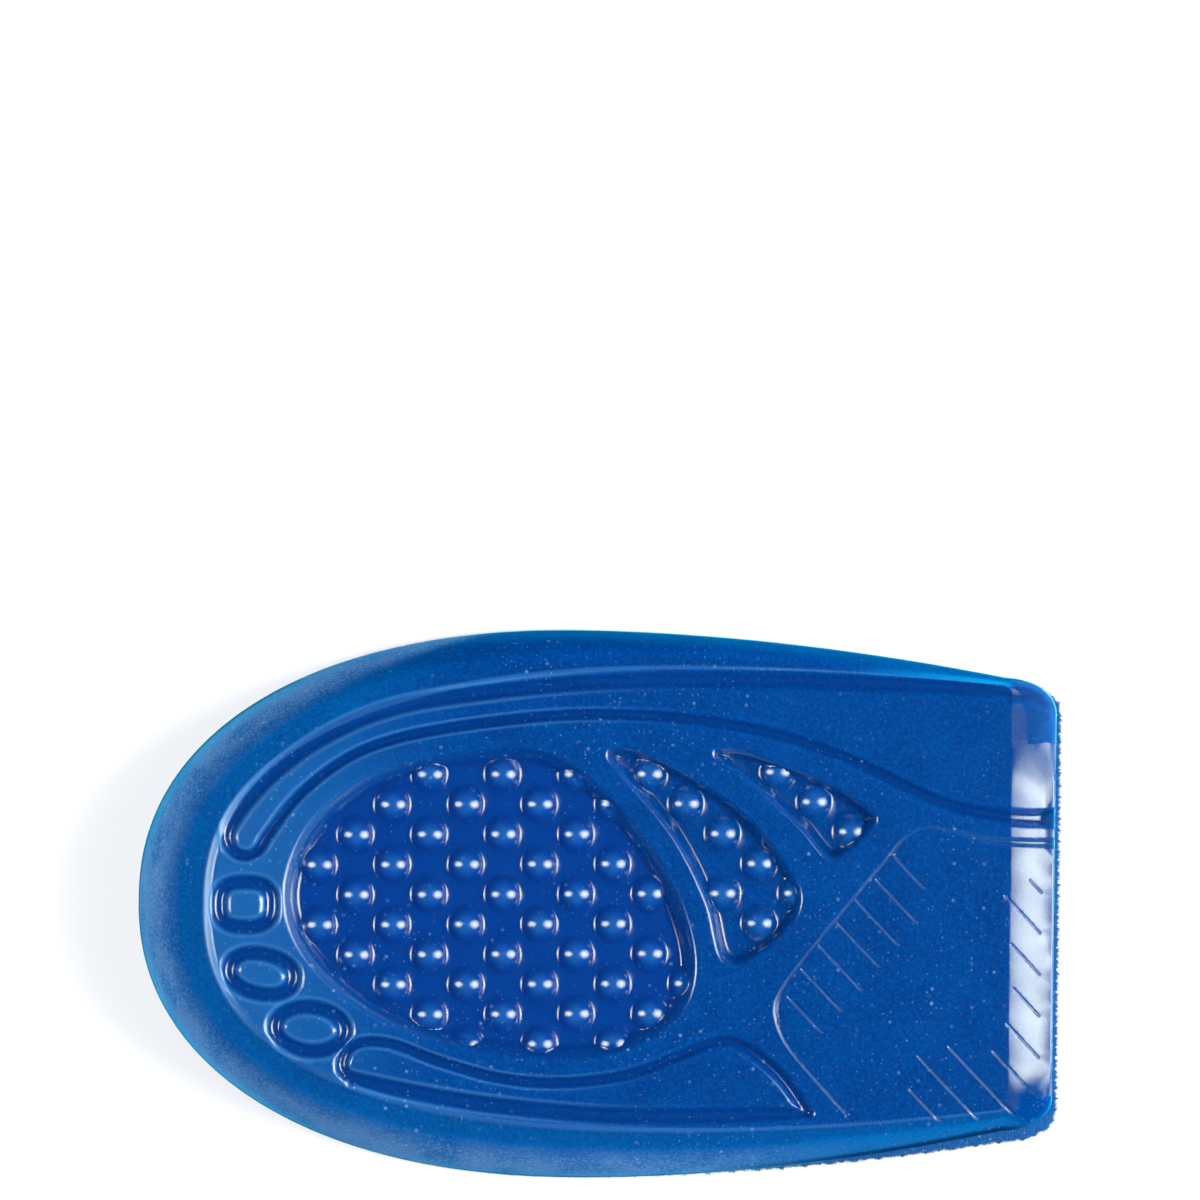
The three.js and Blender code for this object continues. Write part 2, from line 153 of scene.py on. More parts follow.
# Grooves that bound the raised wings, as open curves through (x, y, width)
GROOVE_DEPTH = 0.75
GROOVE_FLOOR = 0.3
GROOVE_SHOULDER = 0.6
SHOULDER_SHARE = 0.7
GROOVES = {
    "longWing": [
        (56, 23.8, 1.6), (52.5, 25.3, 1.6), (49.2, 26, 1.7), (29.5, 26.9, 1.8), (14.9, 27.1, 1.9),
        (0.2, 26.7, 1.9), (-12.6, 25.4, 1.9), (-24.2, 23.4, 1.9), (-31.6, 20.4, 1.9), (-38, 16, 1.9),
        (-42.7, 10.9, 1.9), (-44.1, 7.9, 1.5), (-43.3, 6.1, 1.3), (-41.9, 5.6, 1.2), (-40.5, 6.2, 1.1),
        (-39.4, 7.9, 1.1), (-35.7, 12.8, 1), (-30, 17.3, 1), (-24.1, 19.7, 1), (-9.5, 22.2, 1),
        (0.3, 22.8, 1), (10, 22.4, 1), (19.8, 20.9, 1), (28.5, 18.2, 1), (40.4, 12.9, 1.1),
        (44, 11.9, 1.2), (49.9, 11, 1.4), (56, 10.9, 1.6),
    ],
    "shortWing": [
        (-29, -20.9, 1.3), (-30.2, -19.4, 1.2), (-29.6, -17.4, 1.1), (-27.7, -16.4, 1), (-24.5, -16.6, 1),
        (-18.9, -18.6, 1), (-11.5, -20.6, 1), (-4.1, -21.1, 1), (4.4, -19.9, 1), (9.3, -18, 1),
        (14.2, -16.1, 1), (16.6, -16.2, 1), (20.8, -19, 1), (22.8, -21.1, 1), (25, -24.3, 1),
    ],
    "shortWingSide": [
        (-29.6, -20.4, 1.2), (-27, -21.2, 1.7), (-20.3, -22.6, 1.9), (-11.5, -23.9, 1.9), (0.8, -24.9, 1.9),
        (11, -25, 1.9), (20, -24.7, 1.6), (25.2, -24.5, 0.9),
    ],
}

# Ring moats round three small raised cells at the heel; square is the fullness of their corners
MOAT_WIDTH = 1.8
CELLS = [
    {"x": -41.9, "y": -0.2, "halfLong": 3.1, "halfAcross": 2.65, "square": 2.8, "turn": 0},
    {"x": -39.9, "y": -8.4, "halfLong": 3.8, "halfAcross": 2.35, "square": 2.2, "turn": -0.2},
    {"x": -34.1, "y": -14.9, "halfLong": 4.1, "halfAcross": 2.6, "square": 2, "turn": -0.09},
]

# Front panel: its engraved edge, and hatching by lines of one slope, each from one x to another
LINE_SHOULDER = 0.08
LINE_DEPTH = 0.36
PANEL_EDGE = [
    (56, 7.9, 1), (47.6, 8.2, 0.9), (42.8, 9.2, 0.6), (38.8, 9.6, 0.4), (36.6, 8.4, 0.34), (34.7, 6.1, 0.32),
    (21.8, -10.3, 0.32), (21.3, -12.4, 0.4), (22.4, -15.8, 0.32), (27.3, -21.7, 0.3), (30, -24.6, 0.3),
]
HATCH = {"width": 0.25, "angle": -0.803, "pitch": 3.45}
HATCH_BY_EDGE = {
    "first": 9,
    "lines": [
        (0, 22.8, 26.8), (1, 24.4, 29.1), (2, 26.4, 31.5), (3, 28.5, 33.6), (4, 30.8, 35.9), (5, 33.2, 38.1),
        (6, 35.1, 38.9),
    ],
}
HATCH_AT_FRONT = {
    "first": 8.5,
    "lines": [
        (1, 37.5, 41), (2, 38.4, 45.6), (3, 42.1, 50), (4, 47.4, 52.8), (5, 49, 52.9), (6, 49.7, 52.9),
        (7, 49.4, 52.9), (8, 48.6, 52.9), (9, 51.6, 53),
    ],
}

# Slope of a section's start, as a share of its first stretch
START_SLOPE = 0.3

# Mesh: spacing along the relief's lines, and of the points on plain surface
LINE_SPACING = 0.32
PLAIN_SPACING = 1.1
PLAIN_ROWS = 40
PLAIN_COLUMNS = 52
ROW_STEP = 0.866
POINT_CELL = 0.05
CLEAR_CELL = 0.5
JOIN_CLEAR = 0.18
MERGE = 1e-5
INSIDE_ONLY = 1
PATH_STEPS = 40
CELL_POINTS = 120
CAP = {"turn": 1.2, "least": 5, "points": 3}

# Points that are measured at once, the margin round a path that is searched, and guards for divisions
BATCH = 2048
NEAR = 2
LEAST_RUN = 1e-12
LEAST_WIDTH = 1e-9
LEAST_LEAD = 1e-6

# Rows of points across a field's wall, a groove's side, a fine line's side and the rim, as shares
WALL_ROWS = [
    -0.2, -0.06, 0, 0.06, 0.12, 0.19, 0.26, 0.33, 0.4, 0.47, 0.54, 0.61, 0.68, 0.75, 0.83, 0.91, 1, 1.15,
]
GROOVE_ROWS = [-0.25, -0.05, 0.1, 0.22, 0.35, 0.48, 0.61, 0.74, 0.87, 1]
LINE_ROWS = [-0.6, 0, 0.45, 0.8, 1]
RIM_SHARES = [
    -0.06, -0.02, 0, 0.02, 0.04, 0.06, 0.08, 0.1, 0.12, 0.145, 0.18, 0.23, 0.29, 0.35, 0.41, 0.48, 0.55,
]
RIM_JOIN = 0.62
FRONT_JOIN = 0.95
RING_SHARES = [0.15, 0.3, 0.45, 0.58, 0.7, 0.8, 0.88, 0.94, 0.975, 1]

# Cut edge of the cloth: its rounding, its waves, and the fibres along it
CUT_EDGE = {"inset": 0.2, "low": 0.2, "high": 0.8}
SERRATION = {"depth": 0.13, "turn": 2.4, "second": 0.6, "secondTurn": 5.1, "shift": 1}
FIBRE = {
    "count": 3400, "length": 0.45, "thick": 0.045, "tip": 0.25, "sides": 4,
    "level": 0.55, "least": 0.35, "lean": (0.9, 0.9, 0.7), "seed": 7,
}

# Smooth steps, up as (start, stretch) and down as (end, stretch). Names that end in X or Y go by the plan,
# lead by the way to the sole, groove by a groove's depth, the crown's painted glow by the way to a nub, edge
# and low by the way to the outer edge, and the others by the share of the rim's width.
RISES = {
    "leadFront": (0.35, 0.55), "joinX": (49.5, 4),
    "innerX": (-42, 18), "innerY": (0, 10), "innerClearX": (-30, 18), "thinX": (27, 22),
    "lowFrontX": (6, 28), "heelY": (2, 8), "softFrontY": (9, 5),
    "wall": (0.3, 0.14), "clear": (0.1, 0.06), "lip": (0, 0.03), "thin": (0, 0.05), "corner": (0, 0.7),
    "groove": (0, 0.08),
}
FALLS = {
    "lowFrontY": (-12, 6), "heelX": (-30, 12), "heelLipSheenX": (-38, 7), "sheenX": (14, 30), "paleX": (-14, 28),
    "lip": (0.14, 0.06), "thin": (0.6, 0.4), "groove": (0.45, 0.3), "crown_glow": (1.8, 1.5),
    "edgeGlow": (1.7, 1.7), "edgeShade": (0.28, 0.2), "lowEdgeShade": (0.8, 0.5),
}

# Frost on the rim, whose paler colour is partly a painted sheen: where it starts and over which share, and
# how both slide outwards along the inner side, which gets less of the painted sheen
FROST_AND_SHEEN = {
    "start": 0.36, "stretch": 0.38, "slide": 0.34, "narrowing": 0.2,
    "slideX": -37, "slideStretch": 14, "mostSlide": 2,
}

# Marks that the gel's finish reads, how strong each is where it is full, and limits of the matt wall.
# The glow, the crown, the lip, the groove shoulders' sheen and the edge shade are painted light and shade,
# and the frost's paler colour partly so.
MARKS = ("frost_and_sheen", "sunk", "glow", "pale", "line", "painted_shade", "lip", "painted_sheen", "crown_glow", "front")
SHARES = {
    "finSunk": 0.15, "grooveSunk": 0.5, "crown_glow": 0.6, "lowFrostSheen": 0.9,
    "edgeGlow": 0.2, "heelGlow": 0.35, "clearGlow": 0.1, "thinGlow": 0.8, "wallGlow": 0.2,
    "lowEdgeShade": 0.85, "edgeShade": 0.7, "lip": 0.35, "heelLipSheen": 0.55,
    "painted_sheen": 0.5, "corner": 0.25, "softFront": 0.7,
}
ON_SOLE = 0.02
IN_FIELD = 0.8
WALL_FROM = 0.3
WALL_FRONT = 0.5
CORNER_TURN = 0.8

# Gel colours: plain, and frosted with a paler painted sheen, each with its grain, and the colours that the
# marks bring
GEL_TONES = ((0.0003, 0.028, 0.178, 1), (0.0003, 0.035, 0.206, 1))
GEL_GRAIN = (0.0004, 0.064, 0.290, 1)
FROST_SHEEN_TONES = ((0.012, 0.088, 0.300, 1), (0.042, 0.130, 0.360, 1))
FROST_SHEEN_GRAIN = (0.100, 0.210, 0.440, 1)
RELIEF_COLOURS = {
    "sunk": (0.0008, 0.031, 0.220, 1),
    # Painted glow on the nubs' domes, round their highlights
    "crown_glow": (0.010, 0.090, 0.320, 1),
    "pale": (0.004, 0.074, 0.280, 1),
    # Painted highlight lines on the grooves' shoulders, and painted glow at the front's corner
    "painted_sheen": (0.030, 0.130, 0.370, 1),
    # Painted highlight along the lip where the sole rounds into the rim
    "lip": (0.034, 0.165, 0.440, 1),
}
# Painted glow of light through the gel's thin edges
# Painted shade at the gel's outer edge and along its low edge against the cloth
EDGE_COLOURS = {"glow": (0.0006, 0.240, 0.560, 1), "painted_shade": (0.0004, 0.008, 0.050, 1)}
LINE_COLOUR = (0.020, 0.115, 0.330, 1)
LINE_SHARE = 0.25
DUST_COLOUR = (0.16, 0.32, 0.55, 1)

# Gel patterns: noise as (scale, detail), specks as (scale, least lot, strength), and the ranges that they
# are spread over as (from, to) or (from, to, least, most)
GEL_NOISE = {"cloud": (160.0, 4.0), "grain": (2600.0, 3.0), "swell": (170.0, 1.0), "drift": (70.0, 2.0)}
FINE_DUST = (1700.0, 0.3, 0.7)
COARSE_DUST = (800.0, 0.6, 0.8)
DOT = (0.26, 0.06)
GEL_SPREADS = {
    "cloud": (0.3, 0.7), "grain": (0.35, 0.75, 0.0, 0.6),
    "frostSheen": (0.35, 0.65), "frostSheenGrain": (0.4, 0.72, 0.0, 0.6),
    "drift": (0.42, 0.62, 0.2, 1.0), "chalk": (0.0, 1.0, 0.5, 0.9),
    "frontSatin": (0.35, 0.65, 0.03, 0.17), "frontSwing": (0.0, 1.0, 0.2, 1.0),
}

# Gel surface: roughness, more of it by marks and dust, bumps in metres, shine of the relief and of the wall
GEL_SATIN = 0.08
MARK_SATIN = {"frost_and_sheen": 0.6, "lip": 0.3, "pale": 0.12, "line": 0.06}
DUST_SATIN = 0.3
SWELL_BUMP = 0.00025
GRAIN_BUMP = 0.00003
GRAIN_STRENGTH = 0.2
GEL_SHINE = 0.5
WALL_SHINE = 0.0
GEL_SHADER = {
    "IOR": 1.5, "Subsurface Weight": 1.0, "Subsurface Radius": (1.0, 1.0, 1.0), "Subsurface Scale": 0.005,
}

# Cloth and floor: colours, patterns and surface
CLOTH_TONES = ((0.001, 0.036, 0.180, 1), (0.004, 0.098, 0.360, 1))
CLOTH_RANGE = (0.2, 0.9)
WARP_NOISE = (900.0, 3.0)
FUZZ_NOISE = (3200.0, 5.0)
KNIT = {"X": 850.0, "Y": 1100.0, "distortion": 0.6, "warp": 0.0004, "height": 0.3, "fuzz": 0.9}
LINT = (1500.0, 0.5, 0.7)
LINT_COLOUR = (0.25, 0.42, 0.60, 1)
CLOTH_BUMP = {"Strength": 0.7, "Distance": 0.0002}
CLOTH_SHADER = {"Roughness": 0.92, "Sheen Weight": 0.05, "Specular IOR Level": 0.2}
PAPER_TONES = ((0.89, 0.83, 0.96, 1), (0.93, 0.87, 1.0, 1))
PAPER_NOISE = (6.0, 3.0)
PAPER_SHADER = {"Roughness": 0.9, "Specular IOR Level": 0.2}

# Studio, in metres, degrees and watts; the camera's place is in millimetres, its roll in radians
FLOOR = {"reach": 3.0, "drop": 0.0001}
LIGHTS = {
    "right_softbox": {"azimuth": 0, "height": 35, "width": 1.0, "length": 0.66, "watts": 35.0},
    "left_softbox": {"azimuth": 180, "height": 64, "width": 0.74, "length": 0.5, "watts": 19.0},
}
LIGHT_COLOUR = (0.93, 1.0, 0.86)
LIGHT_DISTANCE = 0.75
LIGHT_MIDDLE = (0.5, 0.5, 0.0)
LIGHT_FADE = (0.5, 0.03)
WORLD = {"Color": (0.9, 0.95, 1.0, 1), "Strength": 0.04}
CAMERA = {
    "x": -0.25, "y": 36.4, "roll": 0.0119, "eye": 1.6, "lift": 0.009,
    "width": 0.143, "sensor": 36, "reach": 20,
}

# Plan curves and heights


def loop_side(loop, side, sign):
    """One side of a plan loop, from the heel's back to the front."""
    power = 2 / side["round"]
    corner_x = loop["front"] - loop["cornerLength"]
    turn = np.linspace(0, math.pi / 2, HEEL_STEPS + 1)
    heel_x = side["wideX"] - (side["wideX"] - loop["back"]) * np.clip(np.cos(turn), 0, 1) ** power
    heel = np.column_stack([heel_x, side["wide"] * np.sin(turn) ** power])
    share = np.arange(1, FLANK_STEPS + 1) / FLANK_STEPS
    flank_x = side["wideX"] + (corner_x - side["wideX"]) * share
    flank = np.column_stack([flank_x, side["wide"] - side["fall"] * share**SIDE_POWER])
    turn = np.arange(1, CORNER_STEPS + 1) / CORNER_STEPS * math.pi / 2
    corner_y = side["wide"] - side["fall"] - loop["cornerDepth"] * (1 - np.cos(turn))
    corner = np.column_stack([corner_x + loop["cornerLength"] * np.sin(turn), corner_y])
    return even_points(np.vstack([heel, flank, corner]) * [1, sign], SIDE_POINTS)


def even_points(rows, count):
    """Points evenly spaced along a run of rows, from its first to its last."""
    gone = np.concatenate([[0], np.cumsum(np.hypot(*np.diff(rows[:, :2], axis=0).T))])
    at = np.linspace(0, gone[-1], count)
    return np.column_stack([np.interp(at, gone, column) for column in rows.T])


def plan_loop(loop):
    """A whole plan loop, anticlockwise from the heel's back."""
    right = loop_side(loop, loop["minusY"], -1)
    left = loop_side(loop, loop["plusY"], 1)
    share = (np.arange(1, FRONT_POINTS) / FRONT_POINTS)[:, None]
    front = right[-1] * (1 - share) + left[-1] * share
    return np.vstack([right, front, left[:0:-1]])


def smooth_path(rows, closed, spacing):
    """Evenly spaced points on a centripetal Catmull-Rom curve through the rows."""
    rows = np.array(rows, float)
    if closed:
        rows = np.vstack([rows[-1], rows, rows[0], rows[1]])
    else:
        rows = np.vstack([2 * rows[0] - rows[1], rows, 2 * rows[-1] - rows[-2]])
    pieces = []
    for p0, p1, p2, p3 in zip(rows, rows[1:], rows[2:], rows[3:]):
        k1 = math.dist(p0[:2], p1[:2]) ** 0.5
        k2 = k1 + math.dist(p1[:2], p2[:2]) ** 0.5
        k3 = k2 + math.dist(p2[:2], p3[:2]) ** 0.5
        k = np.linspace(k1, k2, PATH_STEPS, endpoint=False)[:, None]
        a1 = p0 * (k1 - k) / k1 + p1 * k / k1
        a2 = p1 * (k2 - k) / (k2 - k1) + p2 * (k - k1) / (k2 - k1)
        a3 = p2 * (k3 - k) / (k3 - k2) + p3 * (k - k2) / (k3 - k2)
        b1 = a1 * (k2 - k) / k2 + a2 * k / k2
        b2 = a2 * (k3 - k) / (k3 - k1) + a3 * (k - k1) / (k3 - k1)
        pieces.append(b1 * (k2 - k) / (k2 - k1) + b2 * (k - k1) / (k2 - k1))
    dense = np.vstack([*pieces, pieces[0][:1] if closed else rows[-2:-1]])
    length = np.hypot(*np.diff(dense[:, :2], axis=0).T).sum()
    even = even_points(dense, max(2, round(length / spacing)) + 1)
    return even[:-1] if closed else even


def cell_ring(cell):
    """Middle line of the moat round a cell, with the moat's width as third column."""
    turn = np.linspace(0, 2 * math.pi, CELL_POINTS, endpoint=False)
    bend = lambda value: np.sign(value) * np.abs(value) ** (2 / cell["square"])
    along = cell["halfLong"] * bend(np.cos(turn))
    across = cell["halfAcross"] * bend(np.sin(turn))
    cos, sin = math.cos(cell["turn"]), math.sin(cell["turn"])
    x = cell["x"] + along * cos - across * sin
    y = cell["y"] + along * sin + across * cos
    return np.column_stack([x, y, np.full_like(x, MOAT_WIDTH)])


def hatch_lines(group):
    """Straight hatch lines with their width as third column."""
    slope = math.tan(HATCH["angle"])
    paths = []
    for line, start, end in group["lines"]:
        away = (group["first"] + HATCH["pitch"] * line) / math.cos(HATCH["angle"])
        rows = [(x, away + slope * x, HATCH["width"]) for x in (start, (start + end) / 2, end)]
        paths.append(smooth_path(rows, False, LINE_SPACING))
    return paths


def nearest_on(points, path, closed):
    """Distance from each point to a path, and the nearest place on the path with all its columns."""
    ends = np.roll(path, -1, axis=0) if closed else path[1:]
    starts = path if closed else path[:-1]
    run = (ends - starts)[:, :2]
    length = np.maximum((run**2).sum(axis=1), LEAST_RUN)
    far = np.empty(len(points))
    foot = np.empty((len(points), path.shape[1]))
    for low in range(0, len(points), BATCH):
        some = points[low : low + BATCH]
        away = some[:, None, :] - starts[None, :, :2]
        share = np.clip((away * run).sum(axis=2) / length, 0, 1)
        gap = ((away - share[..., None] * run) ** 2).sum(axis=2)
        best = gap.argmin(axis=1)
        pick = share[np.arange(len(some)), best][:, None]
        far[low : low + BATCH] = np.sqrt(gap[np.arange(len(some)), best])
        foot[low : low + BATCH] = starts[best] * (1 - pick) + ends[best] * pick
    return far, foot


def is_inside(points, loop):
    """True for each point inside a closed loop."""
    inside = np.zeros(len(points), bool)
    for a, b in zip(loop, np.roll(loop, -1, axis=0)):
        if a[1] == b[1]:
            continue
        crosses = (a[1] > points[:, 1]) != (b[1] > points[:, 1])
        inside ^= crosses & (points[:, 0] < a[0] + (points[:, 1] - a[1]) / (b[1] - a[1]) * (b[0] - a[0]))
    return inside


def section_curve(rows):
    """A smooth rising curve through (share, share) rows."""
    x, y = np.array(rows, float).T
    step = np.diff(x)
    slope = np.diff(y) / step
    mean = (step[1:] + 2 * step[:-1]) / slope[:-1] + (2 * step[1:] + step[:-1]) / slope[1:]
    inner = 3 * (step[1:] + step[:-1]) / mean
    tangent = np.concatenate([[slope[0] * START_SLOPE], inner, [slope[-1]]])

    def at(share):
        share = np.clip(share, 0, 1)
        i = np.clip(np.searchsorted(x, share) - 1, 0, len(step) - 1)
        t = (share - x[i]) / step[i]
        start = (1 + 2 * t) * (1 - t) ** 2 * y[i] + t * (1 - t) ** 2 * step[i] * tangent[i]
        return start + t**2 * (3 - 2 * t) * y[i + 1] + t**2 * (t - 1) * step[i] * tangent[i + 1]

    return at


def ease(share):
    """A smooth step from 0 to 1."""
    share = np.clip(share, 0, 1)
    return share * share * (3 - 2 * share)


def rising(value, step):
    """A smooth step from 0 to 1 as a value rises past a named start."""
    start, stretch = RISES[step]
    return ease((value - start) / stretch)


def falling(value, step):
    """A smooth step from 0 to 1 as a value falls below a named end."""
    end, stretch = FALLS[step]
    return ease((end - value) / stretch)


gel_edge = plan_loop(GEL_LOOP)
sole_edge = plan_loop(SOLE_LOOP)
rim_drop = section_curve(RIM_SECTION)
front_drop = section_curve(FRONT_SECTION)
front_end_drop = section_curve(FRONT_END_SECTION)

field_edges = {name: smooth_path(field["edge"], True, LINE_SPACING) for name, field in FIELDS.items()}

# Every groove and fine line as (path with widths, depth, shoulder, closed). A line has no depth of its own:
# it goes with its width.
wing_paths = [smooth_path(rows, False, LINE_SPACING) for rows in GROOVES.values()]
grooves = [(path, GROOVE_DEPTH, GROOVE_SHOULDER, False) for path in wing_paths]
grooves += [(cell_ring(cell), GROOVE_DEPTH, GROOVE_SHOULDER, True) for cell in CELLS]
fine_paths = [smooth_path(PANEL_EDGE, False, LINE_SPACING)]
fine_paths += hatch_lines(HATCH_BY_EDGE) + hatch_lines(HATCH_AT_FRONT)
fine_lines = [(path, None, LINE_SHOULDER, False) for path in fine_paths]


def sole_height(x):
    """Height of the sole plane."""
    return SOLE_MID - SOLE_FALL * x


def rim_place(points):
    """Share of the rim's width at each point, the sole's x that it falls from, and its share of the front."""
    to_sole, foot = nearest_on(points, sole_edge, True)
    to_edge, _ = nearest_on(points, gel_edge, True)
    on_sole = is_inside(points, sole_edge)
    across = np.where(on_sole, 0, to_sole / np.maximum(to_sole + to_edge, LEAST_WIDTH))
    fall_x = np.where(on_sole, points[:, 0], foot[:, 0])
    leads = (points[:, 0] - foot[:, 0]) / np.maximum(to_sole, LEAST_LEAD)
    front = np.where(on_sole, 0, rising(leads, "leadFront"))
    return across, fall_x, front


def near_box(points, path, margin):
    """True for each point within a margin of a path's box."""
    low = path[:, :2].min(axis=0) - margin
    high = path[:, :2].max(axis=0) + margin
    return ((points > low) & (points < high)).all(axis=1)


def step_fall(share, shoulder):
    """Share of a step's depth at a share of its width: a round shoulder, then a hollow foot."""
    share = np.clip(share, 0, 1)
    return np.where(share < shoulder, share**2 / shoulder, 1 - (1 - share) ** 2 / (1 - shoulder))


def wall_fall(share, steps):
    """Share of a field's depth at a share of its wall, which falls in one step or two."""
    if steps == 1:
        return step_fall(share, WALL_SHOULDER)
    upper = step_fall(share / STEP_SPREAD, WALL_SHOULDER)
    lower = step_fall((share - 1 + STEP_SPREAD) / STEP_SPREAD, WALL_SHOULDER)
    return (upper + lower) / 2


def field_depth(points, names=tuple(FIELDS)):
    """Depth of the sunk fields at each point."""
    depth = np.zeros(len(points))
    for name in names:
        edge = field_edges[name]
        near = near_box(points, edge, NEAR)
        away, _ = nearest_on(points[near], edge, True)
        inward = np.where(is_inside(points[near], edge), away, -away)
        wall = FIELDS[name]["wall"]
        sunk = FIELD_DEPTH * wall_fall((inward + FIELD_LIP) / (wall + FIELD_LIP), FIELDS[name]["steps"])
        depth[near] = np.maximum(depth[near], sunk)
    return depth


def groove_width(half, shoulder):
    """Width of a groove's side, from the start of its shoulder to its floor."""
    return shoulder + half * (1 - GROOVE_FLOOR)


def groove_depth(points, lines):
    """Depth of grooves or fine lines at each point."""
    depth = np.zeros(len(points))
    for path, deep, shoulder, closed in lines:
        near = near_box(points, path, NEAR)
        away, foot = nearest_on(points[near], path, closed)
        half = foot[:, 2] / 2
        share = (half + shoulder - away) / groove_width(half, shoulder)
        full = deep or LINE_DEPTH * foot[:, 2]
        depth[near] = np.maximum(depth[near], full * step_fall(share, SHOULDER_SHARE))
    return depth


def past_straight(out, side):
    """How far the front's bevel is rounded off, at distances out from y 0 to one side."""
    return ease((out - FRONT_STRAIGHT[side]["start"]) / FRONT_STRAIGHT[side]["turn"])


def top_height(points):
    """Height of the sole side at each plan point, with all its relief but the nubs."""
    across, fall_x, front = rim_place(points)
    at_end = past_straight(points[:, 1], "plusY") + past_straight(-points[:, 1], "minusY")
    bevel = front_drop(across) * (1 - at_end) + front_end_drop(across) * at_end
    down = rim_drop(across) * (1 - front) + bevel * front
    low = EDGE_TOP * (1 - front) + FRONT_EDGE_TOP * front
    from_x = points[:, 0] * (1 - front) + fall_x * front
    plain = sole_height(from_x) * (1 - down) + low * down
    relief = np.maximum(field_depth(points), groove_depth(points, grooves))
    sunk = plain - np.maximum(relief, groove_depth(points, fine_lines))
    return np.maximum(sunk, GEL_UNDER + LEAST_GEL)


def cup_height(x, level):
    """Height of the dish's cloth surface at a level of its plan, 0 at the middle and 1 at its rim."""
    depth = CUP["depth"] - CUP["fall"] * (x - CUP["x"])
    return depth * (1 - level ** CUP["flatness"]) ** CUP["blend"]


def cup_rings(loop, lift):
    """Rings of the dish along the rays from its centre to a plan loop, raised by lift."""
    rays = loop - [CUP["x"], 0]
    rays /= np.hypot(*rays.T)[:, None]
    reach_x = np.where(rays[:, 0] < 0, CUP["back"], CUP["front"])
    reach = 1 / np.hypot(rays[:, 0] / reach_x, rays[:, 1] / CUP["half"])
    rings = []
    for level in CUP_LEVELS:
        x = CUP["x"] + rays[:, 0] * reach * level
        rings.append(np.column_stack([x, rays[:, 1] * reach * level, cup_height(x, level) + lift]))
    return rings


# Meshes


def mesh_object(name, corners, faces, material):
    """A smooth-shaded object of corners in millimetres."""
    mesh = bpy.data.meshes.new(name)
    mesh.from_pydata((np.asarray(corners) * MM).tolist(), [], faces)
    mesh.validate()
    mesh.shade_smooth()
    mesh.materials.append(material)
    piece = bpy.data.objects.new(name, mesh)
    bpy.context.collection.objects.link(piece)
    return piece


def at_height(plan, height):
    """Plan points with their height as third column."""
    return np.column_stack([plan, np.broadcast_to(height, len(plan))])


def ring_quads(low, high, size):
    """Quads between two rings that start at the corners low and high."""
    after = [(i + 1) % size for i in range(size)]
    return [(low + i, low + after[i], high + after[i], high + i) for i in range(size)]


def offset_rows(path, closed, offsets):
    """Points beside a path, at offsets to its left; each offset is a number or one value for each point."""
    if closed:
        run = np.roll(path, -1, axis=0) - np.roll(path, 1, axis=0)
    else:
        run = np.gradient(path, axis=0)
    left = np.column_stack([-run[:, 1], run[:, 0]])
    left /= np.hypot(*left.T)[:, None]
    return np.vstack([path[:, :2] + left * np.reshape(offset, (-1, 1)) for offset in offsets])


def end_caps(path, shoulder, rows):
    """Half rings of points round both ends of an open path, at shares of its side."""
    caps = []
    for end, before in ((path[0], path[1]), (path[-1], path[-2])):
        heading = math.atan2(end[1] - before[1], end[0] - before[0])
        for share in rows[:-1]:
            half = end[2] / 2
            radius = half + shoulder - share * groove_width(half, shoulder)
            count = max(CAP["least"], round(CAP["points"] * radius / LINE_SPACING))
            turn = heading + np.linspace(-CAP["turn"], CAP["turn"], count)
            caps.append(end[:2] + radius * np.column_stack([np.cos(turn), np.sin(turn)]))
    return np.vstack(caps)


def relief_points():
    """Plan points that follow the lines of the relief."""
    points = []
    for name, edge in field_edges.items():
        wall = FIELDS[name]["wall"]
        rows = [(wall + FIELD_LIP) * share - FIELD_LIP for share in WALL_ROWS]
        points.append(offset_rows(edge, True, rows))
    for lines, rows in ((grooves, GROOVE_ROWS), (fine_lines, LINE_ROWS)):
        for path, _, shoulder, closed in lines:
            half = path[:, 2] / 2
            sides = [half + shoulder - share * groove_width(half, shoulder) for share in rows]
            points.append(offset_rows(path, closed, [0, *sides, *(-side for side in sides)]))
            if not closed:
                points.append(end_caps(path, shoulder, rows))
    rim = gel_edge - sole_edge
    points += [sole_edge + rim * share for share in RIM_SHARES]
    return np.vstack(points)


def plain_points(taken):
    """A staggered grid of plan points, away from those that are taken."""
    step_y = PLAIN_SPACING * ROW_STEP
    points = []
    for row in range(-PLAIN_ROWS, PLAIN_ROWS + 1):
        shift = PLAIN_SPACING / 2 * (row % 2)
        columns = range(-PLAIN_COLUMNS, PLAIN_COLUMNS + 1)
        points += [(column * PLAIN_SPACING + shift, row * step_y) for column in columns]
    points = np.array(points)
    cells = {tuple(cell) for cell in np.floor(taken / CLEAR_CELL).astype(int)}
    free = []
    for point in points:
        cx, cy = np.floor(point / CLEAR_CELL).astype(int)
        if not any((cx + i, cy + j) in cells for i in (-1, 0, 1) for j in (-1, 0, 1)):
            free.append(point)
    return np.array(free)


def sole_triangles(join):
    """Plan corners and triangles of the sole side inside the join loop, whose corners come first."""
    lines = relief_points()
    _, first = np.unique(np.floor(lines / POINT_CELL).astype(int), axis=0, return_index=True)
    lines = lines[np.sort(first)]
    inner = np.vstack([lines, plain_points(np.vstack([lines, join]))])
    inner = inner[is_inside(inner, join)]
    to_join, _ = nearest_on(inner, join, True)
    inner = inner[to_join > JOIN_CLEAR]
    plan = np.vstack([join, inner])
    corners = [Vector(p) for p in plan.tolist()]
    outline = [list(range(len(join)))]
    made, _, faces, given, _, _ = delaunay_2d_cdt(corners, [], outline, INSIDE_ONLY, MERGE, True)
    place = {source: index for index, sources in enumerate(given) for source in sources}
    loop = [place[i] for i in range(len(join))]
    plan = np.array([tuple(p) for p in made])
    return plan, within_loop(plan, faces, loop), loop


